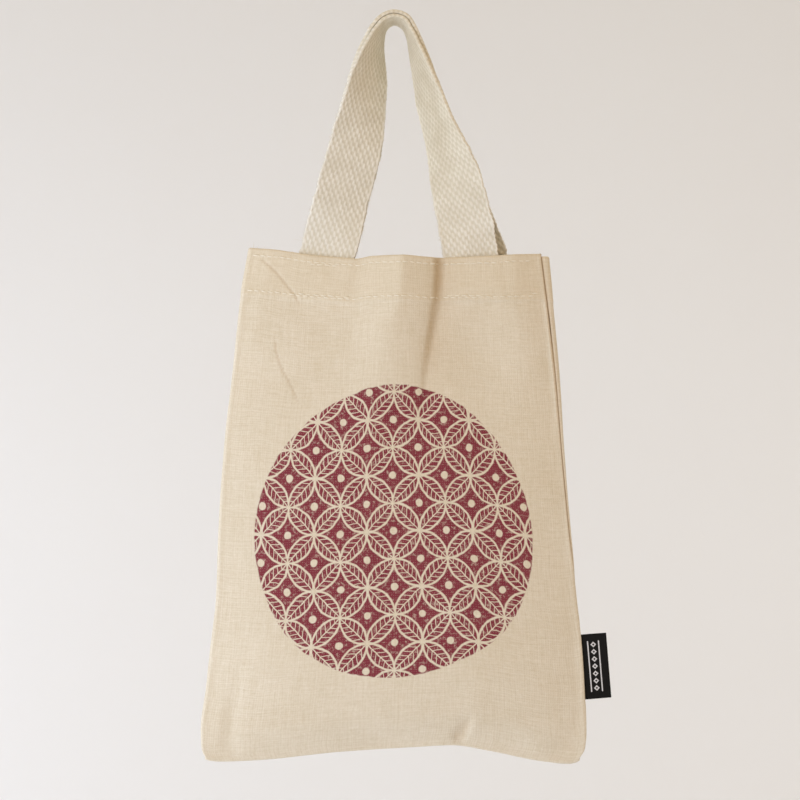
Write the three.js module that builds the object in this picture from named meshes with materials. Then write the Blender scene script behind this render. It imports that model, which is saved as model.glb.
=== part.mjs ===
// A small unlined cotton tote bag that hangs by its two webbing handles.
// Millimetres, +Z up, the front faces -Y. The origin is the underside of the front handle's loop,
// at the middle of the webbing's width, where the bag hangs.
import * as THREE from 'three';

// Driving dimensions.
const CLOTH = 1.1;                       // wall of the calico
const HEM_DEPTH = 18;                    // depth of the turned-in top band
const HEM_WALL = 2 * CLOTH;              // two layers in that band
const GAP = 0.3;                         // clearance kept between pieces
const WEBBING_WIDTH = 24;
const WEBBING_THICK = 1.6;
const MOUTH_Z = -103;                    // middling height of the mouth
const MID_PLANE = 1.5;                   // y of the plane in which the side edges lie
const SEAM_TURN_LEFT = 6.5;              // how far the front panel runs on to the back at the left edge
const SEAM_HALF_GAP = 0.3;               // each panel's distance from the middle of a seam
const LABEL = { width: 14.6, height: 28.6, thick: 1, inside: 4, tilt: 4.3, z: -283.6 };

// Outline of the body from the mouth (down 0) to the bottom corners (down 1).
// left and right are x of the two edges, half is half the thickness of the rounded edge,
// turn is how far the right seam lies on to the front, measured along the cloth from the edge.
const OUTLINE = [
  { down: 0.00, left: -64.4, right: 68.2, half: 2.6, turn: 6.0 },
  { down: 0.09, left: -67.4, right: 70.1, half: 2.6, turn: 5.6 },
  { down: 0.24, left: -71.0, right: 72.8, half: 2.3, turn: 4.0 },
  { down: 0.40, left: -75.0, right: 74.9, half: 2.2, turn: 2.8 },
  { down: 0.55, left: -77.3, right: 77.2, half: 2.2, turn: 1.6 },
  { down: 0.68, left: -78.5, right: 80.0, half: 2.4, turn: 0.0 },
  { down: 0.86, left: -82.6, right: 83.4, half: 2.4, turn: 0.0 },
  { down: 0.95, left: -84.8, right: 84.6, half: 1.9, turn: 0.0 },
  { down: 0.98, left: -84.2, right: 83.9, half: 1.6, turn: 0.0 },
  { down: 1.00, left: -80.6, right: 80.6, half: 1.4, turn: 0.0 },
];

// Height of the mouth and of the bottom seam, across from the left edge (0) to the right edge (1).
const FRONT_MOUTH_EDGE = [
  { across: 0.00, z: -99.6 },
  { across: 0.14, z: -99.9 },
  { across: 0.29, z: -102.1 },
  { across: 0.36, z: -103.9 },
  { across: 0.42, z: -103.2 },
  { across: 0.51, z: -102.6 },
  { across: 0.62, z: -104.0 },
  { across: 0.80, z: -102.9 },
  { across: 1.00, z: -102.2 },
];
const BACK_MOUTH_EDGE = [
  { across: 0.00, z: -100.6 },
  { across: 0.50, z: -104.0 },
  { across: 1.00, z: -103.4 },
];
const BOTTOM_EDGE = [
  { across: 0.00, z: -325.2 },
  { across: 0.14, z: -325.2 },
  { across: 0.36, z: -321.4 },
  { across: 0.56, z: -319.2 },
  { across: 0.66, z: -318.6 },
  { across: 0.76, z: -320.6 },
  { across: 0.90, z: -325.2 },
  { across: 1.00, z: -326.2 },
];

// Depth of the mouth in front of and behind the edges' plane. The stretches of equal depth are where
// the handles are sewn in; between them the front buckles into a ridge and a valley beside it.
// columns is the number of facets from one row to the next.
const FRONT_MOUTH = [
  { across: 0.000, depth: 2.6, columns: 4 },
  { across: 0.110, depth: 7.5, columns: 7 },
  { across: 0.372, depth: 7.5, columns: 7 },
  { across: 0.512, depth: 16.5, columns: 6 },
  { across: 0.608, depth: 4.6, columns: 2 },
  { across: 0.636, depth: 7.5, columns: 7 },
  { across: 0.895, depth: 7.5, columns: 4 },
  { across: 1.000, depth: 2.6 },
];
const BACK_MOUTH = [
  { across: 0.000, depth: 2.6, columns: 4 },
  { across: 0.110, depth: 7.5, columns: 12 },
  { across: 0.930, depth: 7.5, columns: 3 },
  { across: 1.000, depth: 2.6 },
];

// How the depth changes on the way down: front and back are the bulge of each panel beyond its edges,
// mouth is how much of the mouth's folds is left, drift is how far the folds have moved to the left.
const BODY = [
  { down: 0.00, front: 5.0, back: 5.0, mouth: 1.00, drift: 0.000 },
  { down: 0.09, front: 5.5, back: 5.0, mouth: 1.00, drift: 0.002 },
  { down: 0.15, front: 6.5, back: 5.2, mouth: 0.82, drift: 0.014 },
  { down: 0.24, front: 8.0, back: 5.5, mouth: 0.45, drift: 0.040 },
  { down: 0.36, front: 9.4, back: 6.0, mouth: 0.12, drift: 0.075 },
  { down: 0.48, front: 10.4, back: 6.4, mouth: 0.00, drift: 0.100 },
  { down: 0.80, front: 11.4, back: 6.6, mouth: 0.00, drift: 0.100 },
  { down: 0.93, front: 8.0, back: 5.0, mouth: 0.00, drift: 0.100 },
  { down: 1.00, front: 0.0, back: 0.0, mouth: 0.00, drift: 0.100 },
];
const FRONT_ROUNDNESS = 2.6;             // powers of the bulge across: the back is flatter
const BACK_ROUNDNESS = 5;

// Soft folds of the front panel: each runs from one place to another and fades at its ends.
const FRONT_FOLDS = [
  { name: 'pinch over the bottom seam', from: [0.63, 1.0], to: [0.71, 0.8], width: 0.030, depth: 1.6 },
  { name: 'hollow beside the pinch', from: [0.58, 1.0], to: [0.62, 0.86], width: 0.030, depth: -1.2 },
  { name: 'hollow along the left edge', from: [0.10, 1.0], to: [0.085, 0.78], width: 0.030, depth: -1.0 },
  { name: 'hollow along the right edge', from: [0.92, 1.0], to: [0.945, 0.8], width: 0.025, depth: -0.9 },
];

// The front handle from its left foot at the mouth, over the loop's top, to its right foot: x and z of
// the middle of the webbing and its turn, from lying in the panel (0 degrees) to edge-on at the top
// (90 degrees). behind and outside place the back handle from there: along Y, and away from the loop.
const HANDLE_ROUTE = [
  { x: -29.3, z: -102.8, degrees: 0, behind: 8.4, outside: 0.4 },
  { x: -28.1, z: -98.0, degrees: 0, behind: 8.3, outside: 0.4 },
  { x: -23.3, z: -78.6, degrees: 17, behind: 7.4, outside: 0.0 },
  { x: -17.5, z: -56.6, degrees: 22, behind: 6.0, outside: 0.0 },
  { x: -13.0, z: -34.6, degrees: 42, behind: 4.6, outside: 0.3 },
  { x: -11.0, z: -23.6, degrees: 53, behind: 3.4, outside: 0.8 },
  { x: -8.9, z: -12.6, degrees: 70, behind: 1.9, outside: 1.6 },
  { x: -6.6, z: -5.1, degrees: 81, behind: 0.6, outside: 2.0 },
  { x: -4.2, z: -1.1, degrees: 87, behind: 0.2, outside: 2.05 },
  { x: 0.3, z: 0.8, degrees: 90, behind: 0.0, outside: 2.05 },
  { x: 4.8, z: -1.1, degrees: 87, behind: 0.2, outside: 2.05 },
  { x: 7.0, z: -5.1, degrees: 84, behind: 0.6, outside: 2.0 },
  { x: 9.4, z: -12.6, degrees: 77, behind: 1.6, outside: 1.8 },
  { x: 13.6, z: -24.5, degrees: 68, behind: 2.8, outside: 1.3 },
  { x: 17.9, z: -36.8, degrees: 61, behind: 3.8, outside: 0.8 },
  { x: 21.0, z: -45.6, degrees: 53, behind: 4.5, outside: 0.4 },
  { x: 24.7, z: -56.6, degrees: 36, behind: 5.4, outside: 0.2 },
  { x: 26.9, z: -63.2, degrees: 28, behind: 6.0, outside: 0.3 },
  { x: 30.2, z: -82.0, degrees: 19, behind: 7.2, outside: 1.4 },
  { x: 32.6, z: -98.0, degrees: 0, behind: 8.3, outside: 3.4 },
  { x: 33.4, z: -102.8, degrees: 0, behind: 8.4, outside: 4.0 },
];
const FOOT_LENGTH = 17;                  // webbing sewn inside the hem

// Facets.
const ROWS_BELOW_HEM = 25;
const EDGE_STEPS = 4;                    // facets of a quarter turn round an edge
const ROUTE_STEPS = 3;                   // facets of a handle from one row of its route to the next
const FOOT_STEPS = 3;

// A smooth curve through the rows of a table that doesn't overshoot, and is straight between equal values.
function curve(rows, at, value) {
  const x = rows.map((row) => row[at]);
  const y = rows.map((row) => row[value]);
  const slope = x.slice(1).map((next, i) => (y[i + 1] - y[i]) / (next - x[i]));
  const tangent = x.map((_, i) => {
    if (i === 0) return slope[0];
    if (i === x.length - 1) return slope[i - 1];
    const product = slope[i - 1] * slope[i];
    return product <= 0 ? 0 : (2 * product) / (slope[i - 1] + slope[i]);
  });
  return (where) => {
    const t = THREE.MathUtils.clamp(where, x[0], x[x.length - 1]);
    let i = x.findIndex((next) => next > t) - 1;
    if (i < 0) i = x.length - 2;
    const step = x[i + 1] - x[i];
    const s = (t - x[i]) / step;
    const blend = s * s * (3 - 2 * s);
    const lead = s * (1 - s) * (1 - s) * tangent[i] - s * s * (1 - s) * tangent[i + 1];
    return y[i] + (y[i + 1] - y[i]) * blend + lead * step;
  };
}

const left = curve(OUTLINE, 'down', 'left');
const right = curve(OUTLINE, 'down', 'right');
const half = curve(OUTLINE, 'down', 'half');
const turn = curve(OUTLINE, 'down', 'turn');
const frontMouthEdge = curve(FRONT_MOUTH_EDGE, 'across', 'z');
const backMouthEdge = curve(BACK_MOUTH_EDGE, 'across', 'z');
const bottomEdge = curve(BOTTOM_EDGE, 'across', 'z');
const frontMouth = curve(FRONT_MOUTH, 'across', 'depth');
const backMouth = curve(BACK_MOUTH, 'across', 'depth');
const frontBulge = curve(BODY, 'down', 'front');
const backBulge = curve(BODY, 'down', 'back');
const mouthShare = curve(BODY, 'down', 'mouth');
const drift = curve(BODY, 'down', 'drift');

// Depth of the folds of the front panel at a place.
function foldDepth(across, down) {
  let depth = 0;
  for (const fold of FRONT_FOLDS) {
    const along = (down - fold.from[1]) / (fold.to[1] - fold.from[1]);
    if (along < 0 || along > 1) continue;
    const line = THREE.MathUtils.lerp(fold.from[0], fold.to[0], along);
    const away = (across - line) / fold.width;
    const fade = Math.min(1, 4 * along) * (1 - along);
    depth += fold.depth * fade * Math.exp(-away * away);
  }
  return depth;
}

function frontDepth(across, down) {
  const round = 1 - Math.abs(2 * across - 1) ** FRONT_ROUNDNESS;
  const body = half(down) + frontBulge(down) * round;
  const middle = 4 * across * (1 - across);
  const mouth = frontMouth(across + drift(down) * middle) + half(down) - half(0);
  return THREE.MathUtils.lerp(body, mouth, mouthShare(down)) + foldDepth(across, down);
}

function backDepth(across, down) {
  const round = 1 - Math.abs(2 * across - 1) ** BACK_ROUNDNESS;
  const body = half(down) + backBulge(down) * round;
  const mouth = backMouth(across) + half(down) - half(0);
  return THREE.MathUtils.lerp(body, mouth, mouthShare(down));
}

// A point of the outside of the bag, with the direction that leads out of the cloth there.
// side is -1 on the front and 1 on the back.
function onPanel(across, side, down) {
  const h = half(down);
  const width = right(down) - left(down) - 2 * h;
  const depth = side < 0 ? frontDepth : backDepth;
  const step = 0.004;
  const slope = (depth(across + step, down) - depth(across - step, down)) / (2 * step * width);
  const out = new THREE.Vector2(-slope, side).normalize();
  return { x: left(down) + h + across * width, y: MID_PLANE + side * depth(across, down), out };
}

// The same beside an edge: reach is the distance from the outermost line of the edge, first round
// the edge and then along the panel.
function besideEdge(edge, side, reach, down) {
  const h = half(down);
  const quarter = (Math.PI / 2) * h;
  if (reach > quarter) {
    const share = (reach - quarter) / (right(down) - left(down) - 2 * h);
    return onPanel(edge === 'left' ? share : 1 - share, side, down);
  }
  const sign = edge === 'left' ? -1 : 1;
  const outer = edge === 'left' ? left(down) : right(down);
  const out = new THREE.Vector2(sign * Math.cos(reach / h), side * Math.sin(reach / h));
  return { x: outer + h * (out.x - sign), y: MID_PLANE + h * out.y, out };
}

// Half the gap of the right seam, which stands open a little more where the label runs through.
function seamGap(down) {
  const z = THREE.MathUtils.lerp(MOUTH_Z, BOTTOM_EDGE.at(-1).z, down);
  const away = Math.abs(z - LABEL.z) - LABEL.height / 2;
  const open = 1 - THREE.MathUtils.smoothstep(away, 2, 9);
  return SEAM_HALF_GAP + open * (LABEL.thick + GAP / 3);
}

// Places across a panel, taken from its mouth, without those next to the two edges.
function placesAcross(mouth) {
  const places = [];
  for (let i = 0; i < mouth.length - 1; i += 1) {
    for (let k = 0; k < mouth[i].columns; k += 1) {
      places.push(THREE.MathUtils.lerp(mouth[i].across, mouth[i + 1].across, k / mouth[i].columns));
    }
  }
  return places.slice(2, -1);
}

// A row of the front panel, from the right seam round the left edge to the left seam.
function frontRow(down) {
  const places = placesAcross(FRONT_MOUTH).reverse();
  const quarter = (Math.PI / 2) * half(down);
  const start = turn(down) + seamGap(down);
  const nearEdge = Math.max(start + 0.5, quarter);
  const points = [];
  for (let i = 0; i <= EDGE_STEPS; i += 1) {
    points.push(besideEdge('right', -1, THREE.MathUtils.lerp(start, nearEdge, i / EDGE_STEPS), down));
  }
  for (const across of places) points.push(onPanel(across, -1, down));
  for (let i = 0; i <= 2 * EDGE_STEPS; i += 1) {
    const reach = quarter * (1 - i / EDGE_STEPS);
    points.push(besideEdge('left', reach < 0 ? 1 : -1, Math.abs(reach), down));
  }
  points.push(besideEdge('left', 1, SEAM_TURN_LEFT - SEAM_HALF_GAP, down));
  return points;
}

// A row of the back panel, from the left seam round the right edge to the right seam.
function backRow(down) {
  const quarter = (Math.PI / 2) * half(down);
  const end = turn(down) - seamGap(down);
  const points = [besideEdge('left', 1, SEAM_TURN_LEFT + SEAM_HALF_GAP, down)];
  for (const across of placesAcross(BACK_MOUTH)) points.push(onPanel(across, 1, down));
  for (let i = 0; i <= 2 * EDGE_STEPS; i += 1) {
    const reach = THREE.MathUtils.lerp(quarter, -end, i / (2 * EDGE_STEPS));
    points.push(besideEdge('right', reach < 0 ? -1 : 1, Math.abs(reach), down));
  }
  return points;
}

// A closed wall between two faces that are given as equal grids of points.
function wallBetween(outer, inner) {
  const rows = outer.length;
  const columns = outer[0].length;
  const points = [...outer.flat(), ...inner.flat()];
  const index = [];
  const at = (face, j, i) => face * rows * columns + j * columns + i;
  const quad = (a, b, c, d) => index.push(a, b, c, a, c, d);
  for (let j = 0; j < rows - 1; j += 1) {
    for (let i = 0; i < columns - 1; i += 1) {
      quad(at(0, j, i), at(0, j, i + 1), at(0, j + 1, i + 1), at(0, j + 1, i));
      quad(at(1, j, i), at(1, j + 1, i), at(1, j + 1, i + 1), at(1, j, i + 1));
    }
    quad(at(0, j, 0), at(0, j + 1, 0), at(1, j + 1, 0), at(1, j, 0));
    quad(at(0, j + 1, columns - 1), at(0, j, columns - 1), at(1, j, columns - 1), at(1, j + 1, columns - 1));
  }
  for (let i = 0; i < columns - 1; i += 1) {
    quad(at(0, 0, i + 1), at(0, 0, i), at(1, 0, i), at(1, 0, i + 1));
    quad(at(0, rows - 1, i), at(0, rows - 1, i + 1), at(1, rows - 1, i + 1), at(1, rows - 1, i));
  }
  const geometry = new THREE.BufferGeometry().setFromPoints(points);
  geometry.setIndex(index);
  geometry.computeVertexNormals();
  return geometry;
}

// Heights of the rows: the hem's lower edge is a step, so two rows lie close together there.
function rowHeights() {
  const height = MOUTH_Z - BOTTOM_EDGE.at(-1).z;
  const hem = HEM_DEPTH / height;
  const step = 0.4 / height;
  const downs = [0, hem / 3, (2 * hem) / 3, hem];
  const hemRows = downs.length;
  for (let i = 0; i <= ROWS_BELOW_HEM; i += 1) {
    const even = i / ROWS_BELOW_HEM;
    downs.push(THREE.MathUtils.lerp(hem + step, 1, 1 - (1 - even) ** 1.25));
  }
  return { downs, hemRows };
}

// A panel: its outside, and its inside one or two layers of cloth further in.
function panel(rowAt, mouthEdge) {
  const { downs, hemRows } = rowHeights();
  const face = (depthIn) => downs.map((down, j) => rowAt(down).map((point) => {
    const across = (point.x - left(down)) / (right(down) - left(down));
    const z = THREE.MathUtils.lerp(mouthEdge(across), bottomEdge(across), down);
    const into = depthIn(j);
    return new THREE.Vector3(point.x - into * point.out.x, point.y - into * point.out.y, z);
  }));
  return wallBetween(face(() => 0), face((j) => (j < hemRows ? HEM_WALL : CLOTH)));
}

// Stations along a handle, from the left end in the hem over the loop's top to the right end.
// Each holds the middle of the webbing, the way it runs in the plane of the bag and its turn.
function handleStations(plane, beside) {
  const up = (z) => (z - HANDLE_ROUTE[0].z) / -HANDLE_ROUTE[0].z;
  const numbered = HANDLE_ROUTE.map((row, number) => ({ ...row, number }));
  const degrees = curve(numbered, 'number', 'degrees');
  const behind = curve(numbered, 'number', 'behind');
  const outside = curve(numbered, 'number', 'outside');
  const route = new THREE.CatmullRomCurve3(HANDLE_ROUTE.map((row) => {
    return new THREE.Vector3(row.x, plane * (1 - THREE.MathUtils.smoothstep(up(row.z), 0.04, 1)), row.z);
  }), false, 'centripetal');
  const last = HANDLE_ROUTE.length - 1;
  const stations = [];
  for (let i = 0; i <= last * ROUTE_STEPS; i += 1) {
    const number = i / ROUTE_STEPS;
    const tangent = route.getTangent(number / last);
    const run = new THREE.Vector2(tangent.x, tangent.z).normalize();
    const at = route.getPoint(number / last);
    const away = beside * outside(number);
    at.add(new THREE.Vector3(-run.y * away, beside * behind(number), run.x * away));
    stations.push({ at, run, degrees: degrees(number) });
  }
  const foot = (station, sign) => Array.from({ length: FOOT_STEPS }, (_, i) => {
    const far = (sign * FOOT_LENGTH * (i + 1)) / FOOT_STEPS;
    const at = station.at.clone().add(new THREE.Vector3(station.run.x * far, 0, station.run.y * far));
    return { ...station, at };
  });
  return [...foot(stations[0], -1).reverse(), ...stations, ...foot(stations.at(-1), 1)];
}

// Webbing along the stations: its width turns from lying in the panel to lying front to back.
function webbing(stations) {
  const faces = [-1, 1].map((face) => stations.map((station) => {
    const run = new THREE.Vector3(station.run.x, 0, station.run.y);
    const inner = new THREE.Vector3(station.run.y, 0, -station.run.x);
    const turned = THREE.MathUtils.degToRad(station.degrees);
    const width = inner.multiplyScalar(Math.cos(turned));
    width.add(new THREE.Vector3(0, Math.sin(turned), 0));
    const normal = new THREE.Vector3().crossVectors(run, width);
    return [-0.5, 0, 0.5].map((share) => station.at.clone()
      .addScaledVector(width, share * WEBBING_WIDTH)
      .addScaledVector(normal, (face * WEBBING_THICK) / 2));
  }));
  return wallBetween(faces[0], faces[1]);
}

// The folded tab: a thin plate that leaves the right seam square to the edge.
function label() {
  const round = LABEL.thick / 2;
  const shape = new THREE.Shape();
  shape.moveTo(-LABEL.inside, -round);
  shape.lineTo(LABEL.width - LABEL.inside - round, -round);
  shape.absarc(LABEL.width - LABEL.inside - round, 0, round, -Math.PI / 2, Math.PI / 2, false);
  shape.lineTo(-LABEL.inside, round);
  shape.closePath();
  const geometry = new THREE.ExtrudeGeometry(shape, {
    depth: LABEL.height, bevelEnabled: false, curveSegments: 6, steps: 1,
  });
  const down = (LABEL.z - MOUTH_Z) / (BOTTOM_EDGE.at(-1).z - MOUTH_Z);
  geometry.translate(0, 0, -LABEL.height / 2);
  geometry.rotateY(-THREE.MathUtils.degToRad(LABEL.tilt));
  geometry.translate(right(down), MID_PLANE, LABEL.z);
  return geometry;
}

const MATERIALS = {
  calico: { color: 0xe3d4b8, roughness: 0.95, metalness: 0 },
  webbing: { color: 0xe9dfca, roughness: 0.95, metalness: 0 },
  label: { color: 0x1b1816, roughness: 0.7, metalness: 0 },
};

function piece(name, geometry, material) {
  const mesh = new THREE.Mesh(geometry, new THREE.MeshStandardMaterial(MATERIALS[material]));
  mesh.name = name;
  mesh.material.name = material;
  return mesh;
}

// y of the front handle's webbing inside the hem, behind its two layers of cloth.
const frontPlane = MID_PLANE - (FRONT_MOUTH[1].depth - HEM_WALL - GAP - WEBBING_THICK / 2);

const bag = new THREE.Group();
bag.name = 'tote_bag';
bag.add(piece('front_panel', panel(frontRow, frontMouthEdge), 'calico'));
bag.add(piece('back_panel', panel(backRow, backMouthEdge), 'calico'));
bag.add(piece('front_handle', webbing(handleStations(frontPlane, 0)), 'webbing'));
bag.add(piece('back_handle', webbing(handleStations(frontPlane, 1)), 'webbing'));
bag.add(piece('side_label', label(), 'label'));

export default bag;
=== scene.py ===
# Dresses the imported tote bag: calico panels with a turned hem, cotton webbing handles, sewing thread,
# a black woven tab and a block-printed roundel. The front faces -Y and +Z is up.
# The tables are in millimetres, as the bag was drawn, and meshes are made in metres.
import math

import bpy
import numpy as np
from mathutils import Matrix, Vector


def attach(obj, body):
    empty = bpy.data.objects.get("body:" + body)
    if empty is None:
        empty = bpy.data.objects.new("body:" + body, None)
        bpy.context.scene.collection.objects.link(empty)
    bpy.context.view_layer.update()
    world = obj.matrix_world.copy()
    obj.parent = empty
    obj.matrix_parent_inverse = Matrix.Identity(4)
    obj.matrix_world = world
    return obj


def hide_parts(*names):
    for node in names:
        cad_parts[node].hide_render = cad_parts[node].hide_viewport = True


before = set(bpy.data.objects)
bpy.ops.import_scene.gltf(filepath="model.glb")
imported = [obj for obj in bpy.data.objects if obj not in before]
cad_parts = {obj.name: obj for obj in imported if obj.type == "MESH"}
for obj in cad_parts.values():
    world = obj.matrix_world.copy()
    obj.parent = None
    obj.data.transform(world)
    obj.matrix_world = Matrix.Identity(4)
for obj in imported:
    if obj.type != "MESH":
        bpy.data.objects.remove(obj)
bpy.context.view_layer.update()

MM = 0.001
PATTERN = 300.0              # millimetres of cloth to one unit of a UV map
FLAT_MIDDLE = (-PATTERN / 2, -PATTERN / 2, 0.0)
NOISE_CELLS = 64             # cells after which the smooth noise repeats
# Seeds of the random draws. A panel and a handle also use the few numbers after their own.
SEEDS = {
    "front_panel": 11, "back_panel": 41, "front_handle": 61, "back_handle": 71, "sway": 62,
    "front_fuzz": 83, "back_fuzz": 84, "loose_threads": 17, "stitches": 5,
}

# Cloth of the panels.
CALICO = 0.8                 # thickness of one layer
HEM_DEPTH = 19.2
HEM_GAP = 0.3                # air between the two layers of the hem
FOLD_RADIUS = (2 * CALICO + HEM_GAP) / 2
MOUTH_Z = -103.0
BOTTOM_Z = -326.2
HEIGHT = MOUTH_Z - BOTTOM_Z
MID_PLANE = 1.5              # y of the plane in which the side edges lie
CLOTH_WIDTH = 165.0          # width of a panel laid flat, edge to edge
SEAM_TURN_LEFT = 6.5         # how far the front panel runs on to the back at the left edge
SEAM_GAP = 0.07              # each panel's distance from the middle of a seam
SEAM_CURL = 1.2              # radius with which the cloth turns into a seam
SEAM_DEEP = 0.8              # cloth that runs on into the seam
CORNER_FLAT = 0.88           # share of that curl which is pressed flat at the bottom corners
CORNERS = (0.945, 0.985)     # places down between which it flattens
BOTTOM_CURL = 1.2            # height of the roll into the bottom seam
BOTTOM_MEET = 0.94           # how far each panel rolls towards the edges' plane there


def table(names, rows):
    """Rows of numbers with named columns."""
    return [dict(zip(names.split(), row)) for row in rows]


# Outline of the body from the mouth (down 0) to the bottom corners (down 1): x of the two edges, half the
# thickness of the rounded edge, and how far the right seam lies on to the front.
OUTLINE = table("down left right half turn", [
    (0.00, -64.4, 68.2, 2.6, 4.9),
    (0.09, -68.0, 70.1, 2.6, 4.3),
    (0.24, -71.6, 73.0, 2.3, 3.3),
    (0.40, -75.5, 75.3, 2.2, 2.5),
    (0.55, -77.6, 78.0, 2.2, 1.9),
    (0.68, -78.7, 80.4, 2.4, 0.0),
    (0.77, -80.9, 82.8, 2.4, 0.0),
    (0.86, -83.2, 84.1, 2.4, 0.0),
    (0.95, -85.7, 84.8, 1.9, 0.0),
    (0.98, -85.6, 84.1, 1.6, 0.0),
    (0.99, -85.2, 83.3, 1.5, 0.0),
    (1.00, -83.9, 81.7, 1.4, 0.0),
])

# Height of the mouth and of the bottom seam, from the left edge (across 0) to the right edge (across 1).
FRONT_MOUTH_EDGE = table("across z", [
    (0.00, -99.6), (0.09, -100.6), (0.14, -101.6), (0.21, -103.0), (0.34, -104.6), (0.36, -104.8),
    (0.41, -103.7), (0.51, -103.4), (0.62, -104.2), (0.77, -103.6), (0.90, -102.7), (1.00, -102.2),
])
BACK_MOUTH_EDGE = table("across z", [(0.00, -100.6), (0.30, -103.9), (0.50, -104.5), (1.00, -103.4)])
BOTTOM_EDGE = table("across z", [
    (0.00, -324.8), (0.014, -325.5), (0.04, -325.9), (0.14, -325.3), (0.36, -321.6), (0.56, -319.5),
    (0.66, -318.7), (0.76, -321.2), (0.90, -325.8), (0.97, -326.9), (0.986, -326.6), (1.00, -325.2),
])

# Depth of the mouth in front of and behind the edges' plane. Between the two sewn-in handles the front
# buckles into a ridge that ends in a step on its right.
FRONT_MOUTH = table("across depth", [
    (0.000, 2.6), (0.060, 4.8), (0.372, 9.4), (0.514, 15.2), (0.626, 9.7),
    (0.650, 5.8), (0.710, 6.9), (0.895, 7.4), (1.000, 2.6),
])
BACK_MOUTH = table("across depth", [(0.00, 2.6), (0.11, 7.5), (0.93, 7.5), (1.00, 2.6)])

# How the depth changes on the way down: the bulge of each panel, how much of the mouth's folds is left,
# how far they have moved to the left, and how crisp they still are.
BODY = table("down front back mouth drift crisp", [
    (0.00, 5.0, 5.0, 1.00, 0.000, 0.92),
    (0.075, 5.4, 5.0, 1.00, 0.002, 0.85),
    (0.11, 5.9, 5.1, 0.95, 0.012, 0.40),
    (0.15, 6.5, 5.2, 0.84, 0.030, 0.05),
    (0.24, 8.0, 5.5, 0.50, 0.052, 0.00),
    (0.36, 9.4, 6.0, 0.16, 0.075, 0.00),
    (0.48, 10.4, 6.4, 0.00, 0.100, 0.00),
    (0.80, 11.4, 6.6, 0.00, 0.100, 0.00),
    (0.93, 8.0, 5.0, 0.00, 0.100, 0.00),
    (1.00, 0.0, 0.0, 0.00, 0.100, 0.00),
])
FRONT_ROUNDNESS = 2.6
BACK_ROUNDNESS = 5.0

# Soft folds of the panels, each from one place (across, down) to another.
FRONT_FOLDS = table("across_from down_from across_to down_to width depth", [
    (0.69, 1.0, 0.735, 0.84, 0.028, 0.9),
    (0.745, 0.06, 0.860, 0.58, 0.105, -3.5),
    (0.065, 1.0, 0.075, 0.78, 0.022, -1.6),
    (0.945, 1.0, 0.955, 0.80, 0.020, -1.0),
])
BACK_FOLDS = table("across_from down_from across_to down_to width depth", [
    (0.28, 0.06, 0.36, 0.72, 0.055, -1.4),
    (0.64, 0.98, 0.55, 0.40, 0.070, 1.2),
    (0.84, 0.08, 0.76, 0.58, 0.045, -1.1),
    (0.16, 1.00, 0.20, 0.76, 0.030, -0.9),
])

# Sharp creases of the front panel: points (x, z), the reach to the left and right, the height, which is
# below 0 in a valley, the shares of the length over which it fades in and out, and the strength of the
# brown shade painted along it.
CREASES = [
    {   # diagonal in the hem
        "path": [(-60.1, -103.7), (-54.8, -107.7), (-51.7, -110.7), (-46.9, -116.5), (-42.9, -121.7),
                 (-40.6, -126.6)],
        "left": 0.55, "right": 0.50, "height": -0.42, "fade": (0.15, 0.25), "painted_brown_shade": 0.30,
    },
    {   # thin curve below the hem
        "path": [(-52.1, -138.5), (-52.1, -144.6), (-49.9, -152.1), (-46.4, -158.3), (-42.5, -166.6),
                 (-41.6, -170.1)],
        "left": 0.45, "right": 0.40, "height": -0.34, "fade": (0.15, 0.30), "painted_brown_shade": 0.36,
    },
    {   # tuck at the foot of the ridge's step
        "path": [(20.2, -101.0), (20.0, -112.0), (19.4, -121.0), (17.9, -127.5), (17.1, -141.5),
                 (15.6, -152.0)],
        "left": 2.0, "right": 1.7, "height": -1.2, "fade": (0.0, 0.70), "painted_brown_shade": 0.14,
    },
    {   # soft hollow on both sides of the tuck, which shows mostly through the brown shade painted along it
        "path": [(20.9, -101.0), (20.4, -121.0), (17.6, -141.5), (15.0, -156.0), (12.5, -170.0)],
        "left": 4.8, "right": 6.8, "height": -0.3, "fade": (0.0, 0.40), "painted_brown_shade": 0.23,
    },
    {   # pinch above the bottom seam
        "path": [(35.4, -300.8), (32.3, -308.3), (29.3, -314.0), (26.8, -317.6)],
        "left": 3.4, "right": 1.8, "height": -1.9, "fade": (0.5, 0.15), "painted_brown_shade": 0.22,
    },
    {   # bottom right corner
        "path": [(81.6, -296.0), (80.0, -307.0), (77.6, -316.0), (76.8, -323.0)],
        "left": 2.6, "right": 1.6, "height": -0.7, "fade": (0.4, 0.2), "painted_brown_shade": 0.1,
    },
]

# Spacing of the panels' columns across and rows down, in millimetres, up to each place.
FRONT_COLUMNS = table("across spacing", [
    (0.03, 1.2), (0.21, 0.44), (0.30, 0.80), (0.48, 1.35), (0.54, 0.8), (0.60, 1.0), (0.67, 0.5), (1.0, 1.35),
])
BACK_COLUMNS = table("across spacing", [(1.0, 1.5)])
FRONT_REACH = (0.004, 0.955)  # places across between which the columns follow the table
BACK_REACH = (0.055, 0.985)
EDGE_STEPS = 12              # columns round the left edge
STRIP_STEPS = 14             # columns round the right edge to the seam on the front
HEM_ROWS = 0.62
BODY_ROWS = 1.45
HEM_INNER_ROWS = 13          # number of rows in the hem's inner layer
HEM_FOLD_ROWS = 8            # number of rows round its fold
FINE_DEPTH = HEM_DEPTH + 3   # depth down to which the rows lie as close as in the hem

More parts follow.
